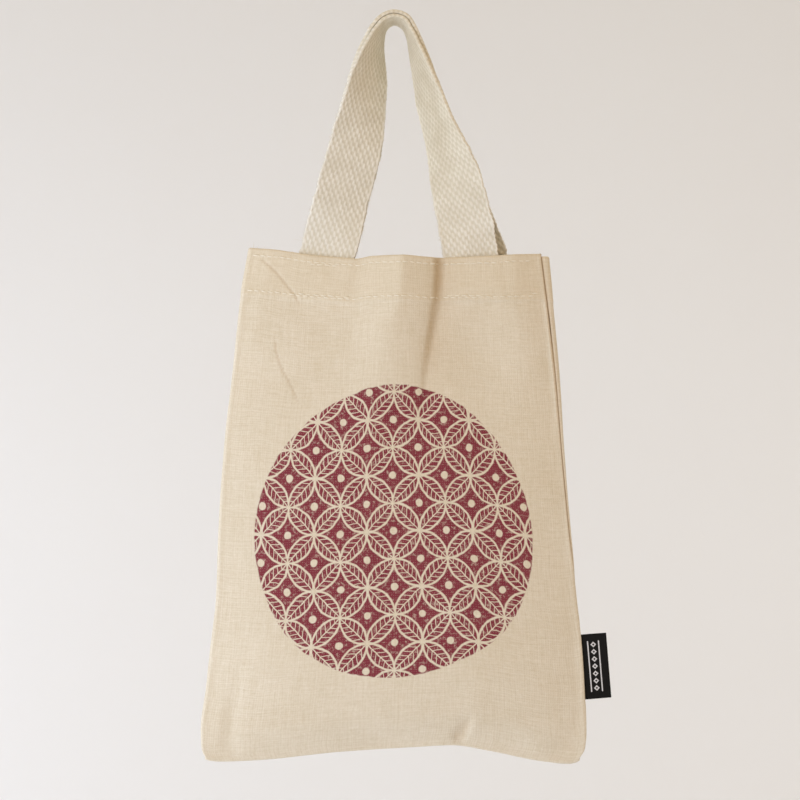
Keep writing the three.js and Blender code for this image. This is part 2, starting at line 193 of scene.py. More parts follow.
# Relief of the panels beyond their main shape.
GROOVE_DEPTH = 0.13          # of the cloth that a row of stitches draws in
GROOVE_WIDTH = 0.8
GROOVE_EVEN = 0.8            # share of its depth that doesn't vary along the row
PUCKER_HEIGHT = 0.05         # of the puckers on both sides of it
PUCKER_WIDTH = 2.4
HEM_STEP = 0.35              # how much deeper the single layer lies below the hem
HEM_STEP_REACH = (-0.6, 1.6)  # from the hem's lower edge, where the step begins and ends
FOOT_LIFT = 0.30             # how far a handle's sewn-in end lifts the hem
FOOT_LEFT = (-3.5, 2.5)      # from its left, right and lower edges, where the lift begins and ends
FOOT_RIGHT = (-0.3, 0.9)
FOOT_LOWER = (-0.6, 1.2)
FOOT_RIBS = 0.035            # height of its floats where they show through
FOOT_SLANT = (0.75, 0.55)    # how much the floats repeat across and down
GATHER_HEIGHT = 0.30         # of the gathers above the bottom seam
GATHER_CELL = 7.0
GATHER_STRETCH = 4           # how much longer than wide they are
GATHER_REACH = (0.94, 0.99)  # places down at which they begin and are full
# Size and height of the lumps in the cloth, and the depths below the mouth where they begin and are full.
LUMPS = table("cell height begins full", [
    (44.0, 0.45, 12.0, 60.0),
    (15.0, 0.10, -1.0, 0.0),
    (5.0, 0.035, -1.0, 0.0),
])

# Webbing of the handles, and the front handle's route from its left foot at the mouth, over the top of
# the loop, to its right foot: x and z of the middle, the turn from lying in the panel to edge-on, and
# where the back handle lies from there, behind it and outside it.
WEBBING_WIDTH = 24.0
WEBBING_CORE = 0.53          # half the thickness without the floats
WEBBING_ROWS = 0.46          # spacing of a handle's rows
WEBBING_SWAY = 0.25          # how far the webbing waves out of its plane, and the length of a wave
SWAY_CELL = 16.0
FREE_REACH = (20.0, 40.0)    # distances from its ends at which it comes free of the hem
FLOAT_HEIGHT = 0.34
FLOAT_COLUMNS = 18
FLOAT_POINTS = 4             # columns of the mesh to a column of floats
FLOAT_PITCH = WEBBING_WIDTH / FLOAT_COLUMNS
FLOAT_REPEAT = 4.04          # length in which a column of floats repeats
FLOAT_SHARE = 0.76           # share of the repeat that a float covers
FLOAT_SLANT = -0.28          # how far a float leans from one end to the other
FLOAT_ROUNDNESS = 2.2        # of its section
FLOAT_TAPER = 0.55           # of its ends
FLOAT_EVEN = 0.76            # share of its height that doesn't vary from place to place
FLOAT_EVEN_CELL = 1.9
WANDER_FAR = 0.30            # how far the columns of floats wander in long waves, and in short ones
WANDER_FAR_CELL = 6.0
WANDER_NEAR = 0.20
WANDER_NEAR_CELL = 2.2
CORD_HEIGHT = 0.75           # of the cord at a selvedge, as a share of a float's height
CORD_REACH = (0.945, 0.975)  # from the middle, 0, to the edge, 1: where the cord begins and is full
SELVEDGE_NOSE = 0.20         # how far the rounded selvedge stands out
SELVEDGE_HALF = 0.22         # half its thickness there
SELVEDGE_BEADS = 0.15        # how far its loops of weft stand out, and how far they stray
SELVEDGE_STRAY = 0.30
SELVEDGE_STRAY_CELL = 2.4
SELVEDGE_REACH = (0.9, 1.0)  # from the middle to the edge, where the loops begin and are full
SELVEDGE_THIN = 0.06         # how much thinner the webbing gets at the edge, and where that begins
SELVEDGE_THIN_FROM = 0.97
SELVEDGE_DIM = 0.3           # how much painted shade darkens its floats there
SELVEDGE_LIGHT = (0.55, 0.35)  # painted lightness of the loops on the rounded selvedge, and how far it swings
FOOT_LENGTH = 18.4
FOOT_STEPS = 12
ROUTE_STEPS = 40             # stations to each row of the route
PAINTED_WARMTH_MIDDLE = 158.0          # where along a handle the painted warm light is strongest
PAINTED_WARMTH_REACH = (78.0, 30.0)    # distances from there at which the painted warm tint begins and is full
FACE_APART = 30.0            # each face's distance from the middle of the pattern, so that the two differ
FUZZ_COUNT = 700             # loose fibres on each selvedge
FUZZ_WIDTH = 0.10
FUZZ_LENGTH = 0.35           # of the shortest, and the shape and scale of the spread above it
FUZZ_SPREAD = (1.6, 0.35)
HANDLE_ROUTE = table("x z degrees behind outside", [
    (-29.3, -102.8, -6, 8.4, 0.40),
    (-28.1, -98.0, -4, 8.3, 0.40),
    (-23.3, -78.6, 17, 7.4, 0.00),
    (-17.5, -56.6, 22, 6.0, 0.00),
    (-13.0, -34.6, 42, 4.6, 0.30),
    (-11.0, -23.6, 53, 3.4, 0.80),
    (-8.9, -12.6, 70, 1.9, 1.55),
    (-6.6, -5.1, 81, 0.6, 1.78),
    (-4.2, -1.1, 87, 0.2, 1.78),
    (0.0, 0.8, 90, 0.0, 1.78),
    (4.4, -1.1, 88, 0.2, 1.78),
    (6.7, -5.1, 86, 0.6, 1.74),
    (9.2, -12.6, 80, 1.6, 1.46),
    (12.6, -24.5, 71, 2.8, 0.85),
    (16.2, -36.8, 62, 3.8, 0.35),
    (19.1, -45.6, 58, 4.5, 0.10),
    (23.0, -56.6, 46, 5.4, 0.05),
    (25.0, -63.2, 35, 6.0, 0.10),
    (27.1, -71.2, 26, 6.6, 0.10),
    (29.5, -82.0, 16, 7.2, 0.20),
    (31.25, -90.0, 9, 7.75, 1.40),
    (32.6, -98.0, 0, 8.3, 3.10),
    (33.4, -102.8, 0, 8.4, 4.10),
])
HANDLE_PLANE = -2.7          # y of the front handle's middle inside the hem, on the right
LEFT_FORWARD = 0.9           # how much nearer the front it lies on the left
LEAN_BEGINS = 0.04           # share of the way up at which the handles start to lean back to the loop

# Sewing: rows of the hem below the folded edge, the thread's stitches, and the short runs, from x to x,
# that are sewn back and forth over the front handle's ends and beside the right seam.
STITCH_ROWS = (2.1, 17.5)
STITCH_PITCH = 3.1
STITCH_LENGTH = 2.95
STITCH_DIP = 0.20            # how far its ends dip into the cloth
STITCH_PROUD = 0.06          # how far its middle lies above the cloth
THREAD_WIDTH = 0.72
THREAD_FLAT = 0.8            # height of a stitch as a share of its width
FRONT_SEWN = (0.0, 0.955)    # places across between which the rows run
BACK_SEWN = (0.06, 0.985)
MOUTH_SHARE = 0.81           # width of the mouth as a share of the cloth's
BACK_TACKS = table("start end below", [
    (-37.0, -24.0, 3.0), (-40.0, -18.0, 16.7), (23.0, 38.0, 16.7), (58.0, 62.5, 16.5),
])
LOOSE_WIDTH = 0.20           # of the threads that stand out of the fold at the mouth's left corner
LOOSE_THREADS = table("across length lean_x lean_z", [
    (0.000, 3.0, -0.3, 1.0), (0.010, 2.3, 0.6, 1.0), (0.030, 1.6, 0.9, 0.7), (0.120, 1.5, 0.9, 0.5),
    (0.140, 1.2, -0.7, 0.5),
])

# Black woven tab in the right seam, folded in two.
LABEL_REACH = 10.7           # how far it stands out of the seam
LABEL_INSIDE = 4.0
LABEL_HEIGHT = 28.6
LABEL_PLY = 0.36
LABEL_TILT = math.radians(4.8)
LABEL_Z = -284.2
LABEL_BOW = 0.9              # how far its outer end bends to the front
LABEL_PARTED = 0.9           # how much the two plies part between seam and fold
LABEL_ROOM = 0.5             # how much further the right seam opens for it
SEAM_CLOSES = (0.5, 6.0)     # distances past its ends between which the seam closes again

# Camera: one metre in front, level with the middle of the picture.
CAMERA_PLACE = (0.00242, -1.0, -0.1666)
CAMERA_LENS = 102.3
SENSOR_WIDTH = 36.0

# Studio, in metres: a floor that bends up into a backdrop, and lamps of a width and height with their power.
FLOOR_HALF = (3.5, 2.5)
FLOOR_MIDDLE = (0.0, -0.7, -0.95)
BACKDROP_Y = FLOOR_MIDDLE[1] + FLOOR_HALF[1]
BACKDROP_HEIGHT = 3.2
BACKDROP_BEND = 0.30
ROOM_COLOUR = "#f5e4c6"
ROOM_STRENGTH = 0.45
BAG_MIDDLE = (0.0, 0.0, -0.17)
LAMPS = table("name place target size power colour", [
    ("window_left", (-0.45, -0.62, -0.22), BAG_MIDDLE, (0.5, 0.8), 3.30, "#e8f0ff"),
    ("front_fill", (-0.20, -1.40, 0.35), BAG_MIDDLE, (1.3, 1.3), 2.40, "#ffe0b6"),
    ("warm_right", (0.55, -0.35, 0.10), BAG_MIDDLE, (0.4, 0.5), 0.34, "#ffae68"),
    ("ceiling", (0.0, -0.15, 0.90), BAG_MIDDLE, (1.0, 1.0), 1.8, "#ffeed8"),
    ("floor_bounce", (-0.10, -0.50, -0.75), BAG_MIDDLE, (0.6, 0.4), 0.70, "#bcd2ff"),
    ("back_window", (-0.20, 0.95, 0.35), BAG_MIDDLE, (0.7, 0.9), 3.2, "#fff4e6"),
    ("backdrop_wash_left", (-1.5, 0.3, -0.75), (-0.45, 1.8, -0.45), (1.2, 1.0), 28.3, "#dbe8ff"),
    ("backdrop_wash_right", (1.6, 0.3, -0.35), (0.5, 1.8, -0.20), (1.2, 1.0), 9.3, "#eff2fd"),
])


def curve(rows, at, value):
    """A smooth curve through the rows of a table that doesn't overshoot."""
    x = np.array([row[at] for row in rows], float)
    y = np.array([row[value] for row in rows], float)
    slope = np.diff(y) / np.diff(x)
    tangent = np.zeros(len(x))
    tangent[0] = slope[0]
    tangent[-1] = slope[-1]
    for i in range(1, len(x) - 1):
        product = slope[i - 1] * slope[i]
        if product > 0:
            tangent[i] = 2 * product / (slope[i - 1] + slope[i])

    def value_at(where):
        """The curve's height at a place, level beyond its ends."""
        t = np.clip(where, x[0], x[-1])
        i = np.clip(np.searchsorted(x, t, side="right") - 1, 0, len(x) - 2)
        step = x[i + 1] - x[i]
        s = (t - x[i]) / step
        blend = s * s * (3 - 2 * s)
        lead = s * (1 - s) ** 2 * tangent[i] - s * s * (1 - s) * tangent[i + 1]
        return y[i] + (y[i + 1] - y[i]) * blend + lead * step

    return value_at


left = curve(OUTLINE, "down", "left")
right = curve(OUTLINE, "down", "right")
half = curve(OUTLINE, "down", "half")
turn = curve(OUTLINE, "down", "turn")
front_mouth_edge = curve(FRONT_MOUTH_EDGE, "across", "z")
back_mouth_edge = curve(BACK_MOUTH_EDGE, "across", "z")
bottom_edge = curve(BOTTOM_EDGE, "across", "z")
front_mouth = curve(FRONT_MOUTH, "across", "depth")
back_mouth = curve(BACK_MOUTH, "across", "depth")
front_bulge = curve(BODY, "down", "front")
back_bulge = curve(BODY, "down", "back")
mouth_share = curve(BODY, "down", "mouth")
drift = curve(BODY, "down", "drift")
crispness = curve(BODY, "down", "crisp")


def smoothstep(x, low, high):
    """0 up to low, 1 from high on, and a smooth rise between them."""
    t = np.clip((x - low) / (high - low), 0.0, 1.0)
    return t * t * (3 - 2 * t)


def mix(a, b, share):
    """The value that lies a share of the way from a to b."""
    return a + (b - a) * share


def soft_noise(u, v, cell, seed):
    """Smooth noise from -1 to 1 whose lumps are one cell across."""
    values = np.random.default_rng(seed).uniform(-1.0, 1.0, (NOISE_CELLS, NOISE_CELLS))
    x = u / cell
    y = v / cell
    i = np.floor(x).astype(int)
    j = np.floor(y).astype(int)
    s = smoothstep(x - i, 0.0, 1.0)
    t = smoothstep(y - j, 0.0, 1.0)
    column = i % NOISE_CELLS
    next_column = (i + 1) % NOISE_CELLS
    rows = [mix(values[row, column], values[row, next_column], s)
            for row in (j % NOISE_CELLS, (j + 1) % NOISE_CELLS)]
    return mix(rows[0], rows[1], t)


def crisp_mouth(across):
    """The front's mouth with nearly straight faces, rounded over a millimetre or two at the creases."""
    places = [row["across"] for row in FRONT_MOUTH]
    depths = [row["depth"] for row in FRONT_MOUTH]
    reach = 0.008
    shifts = np.linspace(-reach, reach, 7)
    return sum(np.interp(across + shift, places, depths) for shift in shifts) / len(shifts)


def fold_depth(folds, across, down):
    """Depth of the soft folds, each of which fades in over its first quarter and out over its length."""
    depth = np.zeros(np.broadcast(across, down).shape)
    for fold in folds:
        along = (down - fold["down_from"]) / (fold["down_to"] - fold["down_from"])
        line = mix(fold["across_from"], fold["across_to"], along)
        away = (across - line) / fold["width"]
        fade = np.clip(np.minimum(1.0, 4 * along) * (1 - along), 0.0, 1.0)
        depth = depth + fold["depth"] * fade * np.exp(-away * away)
    return depth


def front_depth(across, down):
    """How far the front panel lies in front of the edges' plane."""
    rounding = 1 - np.abs(2 * across - 1) ** FRONT_ROUNDNESS
    body = half(down) + front_bulge(down) * rounding
    moved = across + drift(down) * 4 * across * (1 - across)
    mouth = mix(front_mouth(moved), crisp_mouth(moved), crispness(down)) + half(down) - half(0.0)
    return mix(body, mouth, mouth_share(down)) + fold_depth(FRONT_FOLDS, across, down)


def back_depth(across, down):
    """How far the back panel lies behind the edges' plane."""
    rounding = 1 - np.abs(2 * across - 1) ** BACK_ROUNDNESS
    body = half(down) + back_bulge(down) * rounding
    mouth = back_mouth(across) + half(down) - half(0.0)
    return mix(body, mouth, mouth_share(down)) + fold_depth(BACK_FOLDS, across, down)


def on_panel(across, side, down):
    """x, y and the outward direction on a panel. side is -1 on the front and 1 on the back."""
    h = half(down)
    width = right(down) - left(down) - 2 * h
    depth = front_depth if side < 0 else back_depth
    step = 0.004
    slope = (depth(across + step, down) - depth(across - step, down)) / (2 * step * width)
    length = np.hypot(slope, 1.0)
    x = left(down) + h + across * width
    y = MID_PLANE + side * depth(across, down)
    return x, y, -slope / length, side / length


def beside_edge(edge, side, reach, down):
    """The same at a distance along the cloth from the outermost line of an edge."""
    h = half(down)
    quarter = math.pi / 2 * h
    share = np.maximum(reach - quarter, 0.0) / (right(down) - left(down) - 2 * h)
    flat = on_panel(share if edge == "left" else 1 - share, side, down)
    sign = -1 if edge == "left" else 1
    outer = left(down) if edge == "left" else right(down)
    out_x = sign * np.cos(reach / h)
    out_y = side * np.sin(reach / h)
    turned = (outer + h * (out_x - sign), MID_PLANE + h * out_y, out_x, out_y)
    return [np.where(reach > quarter, a, b) for a, b in zip(flat, turned)]


def label_share(down):
    """1 where the tab runs through the right seam, fading to 0 above and below it."""
    z = MOUTH_Z - HEIGHT * down
    return 1 - smoothstep(np.abs(z - LABEL_Z) - LABEL_HEIGHT / 2, *SEAM_CLOSES)


def seam_curl():
    """Distance along the cloth and depth for a panel's edge that turns into a seam, deepest first."""
    points = [(0.0, SEAM_CURL + SEAM_DEEP), (0.0, SEAM_CURL + SEAM_DEEP / 2)]
    steps = 6
    for i in range(steps):
        angle = math.pi / 2 * i / steps
        points.append((SEAM_CURL * (1 - math.cos(angle)), SEAM_CURL * (1 - math.sin(angle))))
    return points


def places_across(columns, reach):
    """Places across a panel within its reach, spaced as its table says."""
    places = [0.0]
    start = 0.0
    for row in columns:
        count = round((row["across"] - start) * CLOTH_WIDTH / row["spacing"])
        places += [mix(start, row["across"], (i + 1) / count) for i in range(count)]
        start = row["across"]
    return [place for place in places if reach[0] < place < reach[1]]


def panel_columns(front, down):
    """Each column of a panel over all rows: x, y, outward direction, inset, cloth coordinate and relief.

    The front panel runs from the right seam round the left edge to the left seam on the back, and the
    back panel from the left seam round the right edge to the right seam on the front.
    """
    quarter = math.pi / 2 * half(down)
    opening = SEAM_GAP + LABEL_ROOM * label_share(down)
    columns = []

    def beside(edge, side, reach, inset=0.0, relief=0.0):
        """A column beside an edge, on the other side of the bag where the reach is below 0."""
        place = np.abs(reach)
        same_side = reach >= 0
        near = beside_edge(edge, side, place, down)
        far = beside_edge(edge, -side, place, down)
        x, y, out_x, out_y = [np.where(same_side, a, b) for a, b in zip(near, far)]
        round_edge = np.where(same_side, 1.0, -1.0) * (place - quarter)
        if edge == "left":
            cloth = -CLOTH_WIDTH / 2 + round_edge
        else:
            cloth = CLOTH_WIDTH / 2 - round_edge
        columns.append((x, y, out_x, out_y, inset, cloth, relief))

    def across_panel(places, side):
        """Columns at places across the panel's own face."""
        for across in places:
            x, y, out_x, out_y = on_panel(across + 0 * down, side, down)
            columns.append((x, y, out_x, out_y, 0.0, (across - 0.5) * CLOTH_WIDTH + 0 * down, 1.0))

    if front:
        start = turn(down) + opening
        for along, inset in seam_curl():
            beside("right", -1, start + along, inset)
        curl_end = start + SEAM_CURL
        edge_end = np.maximum(curl_end + 0.5, quarter)
        for i in range(4):
            beside("right", -1, mix(curl_end, edge_end, i / 4), relief=0.2 * i)
        first = (edge_end - quarter) / (right(down) - left(down) - 2 * half(down))
        inner = places_across(FRONT_COLUMNS, FRONT_REACH)[::-1]
        eased = [mix(1 - first, inner[0], share) for share in (0.0, 0.34, 0.67)]
        across_panel(eased + inner, -1)
        for i in range(EDGE_STEPS + 1):
            beside("left", -1, quarter * (1 - 2 * i / EDGE_STEPS), relief=0.6)
        last = SEAM_TURN_LEFT - SEAM_GAP
        for i in range(1, 4):
            beside("left", -1, -mix(quarter, last - SEAM_CURL, i / 4), relief=0.3)
        for along, inset in seam_curl()[::-1]:
            beside("left", -1, along - last, inset)
    else:
        start = SEAM_TURN_LEFT + SEAM_GAP
        for along, inset in seam_curl():
            beside("left", 1, start + along, inset)
        across_panel(places_across(BACK_COLUMNS, BACK_REACH), 1)
        end = turn(down) - opening - SEAM_CURL
        for i in range(STRIP_STEPS + 1):
            beside("right", 1, mix(quarter, -end, i / STRIP_STEPS), relief=0.5)
        for along, inset in seam_curl()[::-1]:
            beside("right", 1, along - (end + SEAM_CURL), inset)
    grids = range(len(columns[0]))
    return [np.stack([np.broadcast_to(column[k], down.shape) for column in columns], axis=1) for k in grids]


def crease_height(x, z, crease):
    """Height of a sharp crease, with its own reach on each side."""
    path = crease["path"]
    nearest = np.full(x.shape, 1e9)
    side = np.zeros(x.shape)
    along = np.zeros(x.shape)
    for i, (a, b) in enumerate(zip(path, path[1:])):
        run = (b[0] - a[0], b[1] - a[1])
        length = run[0] ** 2 + run[1] ** 2
        t = np.clip(((x - a[0]) * run[0] + (z - a[1]) * run[1]) / length, 0.0, 1.0)
        off_x = x - a[0] - t * run[0]
        off_z = z - a[1] - t * run[1]
        far = np.hypot(off_x, off_z)
        closer = far < nearest
        nearest = np.where(closer, far, nearest)
        side = np.where(closer, np.sign(run[0] * off_z - run[1] * off_x), side)
        along = np.where(closer, (i + t) / (len(path) - 1), along)
    width = np.where(side > 0, crease["right"], crease["left"])
    fade_in, fade_out = crease["fade"]
    fade = np.ones(x.shape)
    if fade_in > 0:
        fade = fade * smoothstep(along, 0.0, fade_in)
    if fade_out > 0:
        fade = fade * (1 - smoothstep(along, 1 - fade_out, 1.0))
    return crease["height"] * fade * np.exp(-((nearest / width) ** 2))


def stitch_groove(cloth, below):
    """The cloth is drawn in along each row of stitches and puckers a little between them."""
    depth = np.zeros(np.broadcast(cloth, below).shape)
    wave = np.cos(2 * math.pi * cloth / STITCH_PITCH)
    for row in STITCH_ROWS:
        away = below - row
        drawn_in = GROOVE_DEPTH * (GROOVE_EVEN - (1 - GROOVE_EVEN) * wave)
        depth = depth - drawn_in * np.exp(-((away / GROOVE_WIDTH) ** 2))
        depth = depth + PUCKER_HEIGHT * wave * np.exp(-((away / PUCKER_WIDTH) ** 2))
    return depth


def foot_push(x, below):
    """The sewn-in ends of the front handle lift the hem a little."""
    push = np.zeros(np.broadcast(x, below).shape)
    edge = WEBBING_WIDTH / 2
    for foot, above in (HANDLE_ROUTE[:2], HANDLE_ROUTE[:-3:-1]):
        lean = (above["x"] - foot["x"]) / (above["z"] - foot["z"])
        away = x - (foot["x"] - lean * below)
        inside = smoothstep(away + edge, *FOOT_LEFT) * (1 - smoothstep(away - edge, *FOOT_RIGHT))
        inside = inside * (1 - smoothstep(below - FOOT_LENGTH, *FOOT_LOWER))
        ribs = np.sin(2 * math.pi * (away * FOOT_SLANT[0] + below * FOOT_SLANT[1]) / FLOAT_REPEAT)
        push = push + inside * (FOOT_LIFT + FOOT_RIBS * ribs)
    return push


def panel_relief(front, cloth, x, z, down):
    """Relief of a panel beyond its main shape, in millimetres outwards."""
    below = down * HEIGHT
    relief = stitch_groove(cloth, below)
    relief = relief - HEM_STEP * smoothstep(below - HEM_DEPTH, *HEM_STEP_REACH)
    seed = SEEDS["front_panel" if front else "back_panel"]
    for number, lump in enumerate(LUMPS):
        lumps = lump["height"] * soft_noise(cloth, below, lump["cell"], seed + number)
        relief = relief + lumps * smoothstep(below, lump["begins"], lump["full"])
    gathers = GATHER_HEIGHT * soft_noise(cloth, below / GATHER_STRETCH, GATHER_CELL, seed + len(LUMPS))
    relief = relief + gathers * smoothstep(down, *GATHER_REACH) * (1 - smoothstep(down, GATHER_REACH[1], 1.0))
    if front:
        relief = relief + foot_push(x, below)
        for crease in CREASES:
            relief = relief + crease_height(x, z, crease)
    return relief


def panel_rows():
    """Rows of a panel from the hem's inner edge over its fold and down: place down, depth inwards, rise."""
    rows = []
    for i in range(HEM_INNER_ROWS):
        rows.append((HEM_DEPTH / HEIGHT * (1 - i / HEM_INNER_ROWS), 2 * FOLD_RADIUS, -FOLD_RADIUS))
    for i in range(HEM_FOLD_ROWS):
        angle = math.pi * i / HEM_FOLD_ROWS
        rise = FOLD_RADIUS * math.sin(angle) - FOLD_RADIUS
        rows.append((0.0, FOLD_RADIUS * (1 + math.cos(angle)), rise))
    hem_steps = round(FINE_DEPTH / HEM_ROWS)
    hem_end = FINE_DEPTH / HEIGHT
    for i in range(hem_steps):
        rows.append((hem_end * i / hem_steps, 0.0, -FOLD_RADIUS))
    body_steps = round((1 - hem_end) * HEIGHT / BODY_ROWS)
    for i in range(body_steps + 1):
        rows.append((mix(hem_end, 1.0, i / body_steps), 0.0, -FOLD_RADIUS))
    return rows


def height_on_panel(front, x, down, rise):
    """z on a panel, between its mouth's edge, raised by the fold's rise, and the bottom seam."""
    across = np.clip((x - left(down)) / (right(down) - left(down)), 0.0, 1.0)
    mouth = front_mouth_edge(across) if front else back_mouth_edge(across)
    return mix(mouth + rise, bottom_edge(across) + BOTTOM_CURL, down)


def panel_points(front):
    """Grids of a panel's points in millimetres, their places on the flat cloth and the shade painted there.
    """
    down, inward, rise = np.array(panel_rows()).T
    x, y, out_x, out_y, inset, cloth, share = panel_columns(front, down)
    grid_down = np.broadcast_to(down[:, None], x.shape)
    z = height_on_panel(front, x, grid_down, rise[:, None])
    inset = inset * (1 - CORNER_FLAT * smoothstep(grid_down, *CORNERS))
    relief = share * panel_relief(front, cloth, x, z, grid_down)
    offset = relief - inward[:, None] - inset
    points = np.stack([x + offset * out_x, y + offset * out_y, z], axis=2)
    below = down * HEIGHT
    fold_length = math.pi * FOLD_RADIUS
    on_fold = np.clip(inward / (2 * FOLD_RADIUS), 0.0, 1.0)
    inner = np.arange(len(down)) < HEM_INNER_ROWS
    travel = np.where(inner, -below - fold_length, below - on_fold * fold_length)
    flat = np.stack([cloth, np.broadcast_to(travel[:, None], x.shape)], axis=2)
    # Painted shade: cloth that curls into a seam, and the sharp creases, get a brown shade in their colour.
    shade = inset / SEAM_CURL
    for crease in CREASES if front else ():
        shade = shade + share * crease["painted_brown_shade"] * crease_height(x, z, crease) / crease["height"]
    points, flat = close_bottom(points, flat)
    painted_shade = np.concatenate([shade, np.repeat(shade[-1:], len(points) - len(shade), axis=0)])
    return points, flat, np.clip(painted_shade, 0.0, 1.0)


def close_bottom(points, flat):
    """Rolls the lowest row of a panel under, to meet the other panel at the bottom seam."""
    last = points[-1]
    toward = MID_PLANE - last[:, 1]
    steps = 5
    rolled = 0.4             # cloth to each step
    extra_points = []
    extra_flat = []
    for i in range(1, steps + 1):
        angle = math.pi / 2 * i / steps
        row = last.copy()
        row[:, 1] += toward * (1 - math.cos(angle)) * BOTTOM_MEET
        row[:, 2] -= BOTTOM_CURL * math.sin(angle)
        extra_points.append(row)
        extra_flat.append(flat[-1] + (0.0, rolled * i))
    return np.concatenate([points, extra_points]), np.concatenate([flat, extra_flat])


def mesh_object(name, points, faces, flat=None, attributes=None):
    """An object at the origin from points in millimetres, with its flat cloth as UV map, and attributes."""
    mesh = bpy.data.meshes.new(name)
    corners = faces.tolist() if isinstance(faces, np.ndarray) else faces
    mesh.from_pydata((np.reshape(points, (-1, 3)) * MM).tolist(), [], corners)
    mesh.polygons.foreach_set("use_smooth", [True] * len(mesh.polygons))
    if flat is not None:
        corner = np.zeros(len(mesh.loops), int)
        mesh.loops.foreach_get("vertex_index", corner)
        layer = mesh.uv_layers.new(name="flat_cloth")
        layer.data.foreach_set("uv", (np.reshape(flat, (-1, 2))[corner] / PATTERN + 0.5).ravel())
    for label, values in (attributes or {}).items():
        attribute = mesh.attributes.new(label, "FLOAT", "POINT")
        attribute.data.foreach_set("value", np.asarray(values, float).ravel())
    mesh.update()
    made = bpy.data.objects.new(name, mesh)
    bpy.context.scene.collection.objects.link(made)
    return made


def grid_faces(rows, columns, turned=False):
    """Quads of a grid of points that is stored row by row."""
    j, i = np.meshgrid(np.arange(rows - 1), np.arange(columns - 1), indexing="ij")
    a = (j * columns + i).ravel()
    quads = np.stack([a, a + 1, a + columns + 1, a + columns], axis=1)
    return quads[:, ::-1] if turned else quads


def apply_modifier(piece, kind, **settings):
    """Adds a modifier to a piece and applies it."""
    bpy.ops.object.select_all(action="DESELECT")
    piece.select_set(True)
    bpy.context.view_layer.objects.active = piece
    modifier = piece.modifiers.new(kind.lower(), kind)
    for name, value in settings.items():
        setattr(modifier, name, value)
    bpy.ops.object.modifier_apply(modifier=modifier.name)


def panel(name, front):
    """A panel: its outer face, given the calico's thickness inwards."""
    points, flat, painted_shade = panel_points(front)
    piece = mesh_object(name, points, grid_faces(*points.shape[:2]), flat, {"painted_shade": painted_shade})
    apply_modifier(piece, "SOLIDIFY", thickness=CALICO * MM, offset=-1.0)
    return piece


def spline_point(points, number):
    """A centripetal Catmull-Rom spline through points, at a point number with a fraction."""
    last = len(points) - 1
    i = min(int(number), last - 1)
    s = number - i
    p1 = points[i]
    p2 = points[i + 1]
    p0 = points[i - 1] if i > 0 else 2 * p1 - p2
    p3 = points[i + 2] if i + 2 <= last else 2 * p2 - p1
    d0 = np.linalg.norm(p1 - p0) ** 0.5
    d1 = np.linalg.norm(p2 - p1) ** 0.5
    d2 = np.linalg.norm(p3 - p2) ** 0.5
    t1 = ((p1 - p0) / d0 - (p2 - p0) / (d0 + d1) + (p2 - p1) / d1) * d1
    t2 = ((p2 - p1) / d1 - (p3 - p1) / (d1 + d2) + (p3 - p2) / d2) * d1
    blend = s * s * (3 - 2 * s)
    return p1 + (p2 - p1) * blend + s * (1 - s) ** 2 * t1 - s * s * (1 - s) * t2


def handle_stations(behind_share):
    """Stations along a handle: middle, direction of the run in the bag's plane, and turn."""
    numbered = [dict(row, number=i) for i, row in enumerate(HANDLE_ROUTE)]
    degrees = curve(numbered, "number", "degrees")
    behind = curve(numbered, "number", "behind")
    outside = curve(numbered, "number", "outside")
    height = -HANDLE_ROUTE[0]["z"]
    points = []
    for row in HANDLE_ROUTE:
        up = (row["z"] + height) / height
        plane = HANDLE_PLANE - (LEFT_FORWARD * (1 - behind_share) if row["x"] < 0 else 0.0)
        points.append(np.array([row["x"], plane * (1 - smoothstep(up, LEAN_BEGINS, 1.0)), row["z"]]))
    numbers = np.linspace(0, len(points) - 1, ROUTE_STEPS * (len(points) - 1) + 1)
    near = 0.002
    middles = []
    runs = []
    for number in numbers:
        after = spline_point(points, min(number + near, numbers[-1]))
        before = spline_point(points, max(number - near, 0.0))
        run = np.array([after[0] - before[0], after[2] - before[2]])
        run = run / np.linalg.norm(run)
        away = behind_share * outside(number)
        aside = np.array([-run[1] * away, behind_share * behind(number), run[0] * away])
        middles.append(spline_point(points, number) + aside)
        runs.append(run)

    def foot(end, sign):
        """Middles of a sewn-in end, on from the mouth."""
        run = np.array([runs[end][0], 0.0, runs[end][1]]) * sign
        return [middles[end] + run * FOOT_LENGTH * (i + 1) / FOOT_STEPS for i in range(FOOT_STEPS)]

    middles = foot(0, -1)[::-1] + middles + foot(-1, 1)
    runs = [runs[0]] * FOOT_STEPS + runs + [runs[-1]] * FOOT_STEPS
    turns = np.pad(np.radians(degrees(numbers)), FOOT_STEPS, mode="edge")
    return np.array(middles), np.array(runs), turns


def float_height(across, along):
    """Height from 0 to 1 of the webbing's floats: columns of long stitches, each column half a repeat on."""
    number = np.floor(across / FLOAT_PITCH)
    shift = np.where(number % 2 == 0, 0.0, 0.5)
    repeat = along / FLOAT_REPEAT + shift
    part = repeat - np.floor(repeat)
    on_float = np.clip(part / FLOAT_SHARE, 0.0, 1.0)
    lean = FLOAT_SLANT * (on_float - 0.5) / FLOAT_PITCH
    off = (across / FLOAT_PITCH - number - 0.5 - lean) * 2
    crown = np.sqrt(np.clip(1 - np.abs(off) ** FLOAT_ROUNDNESS, 0.0, 1.0))
    length = np.sin(math.pi * on_float) ** FLOAT_TAPER
    return crown * length


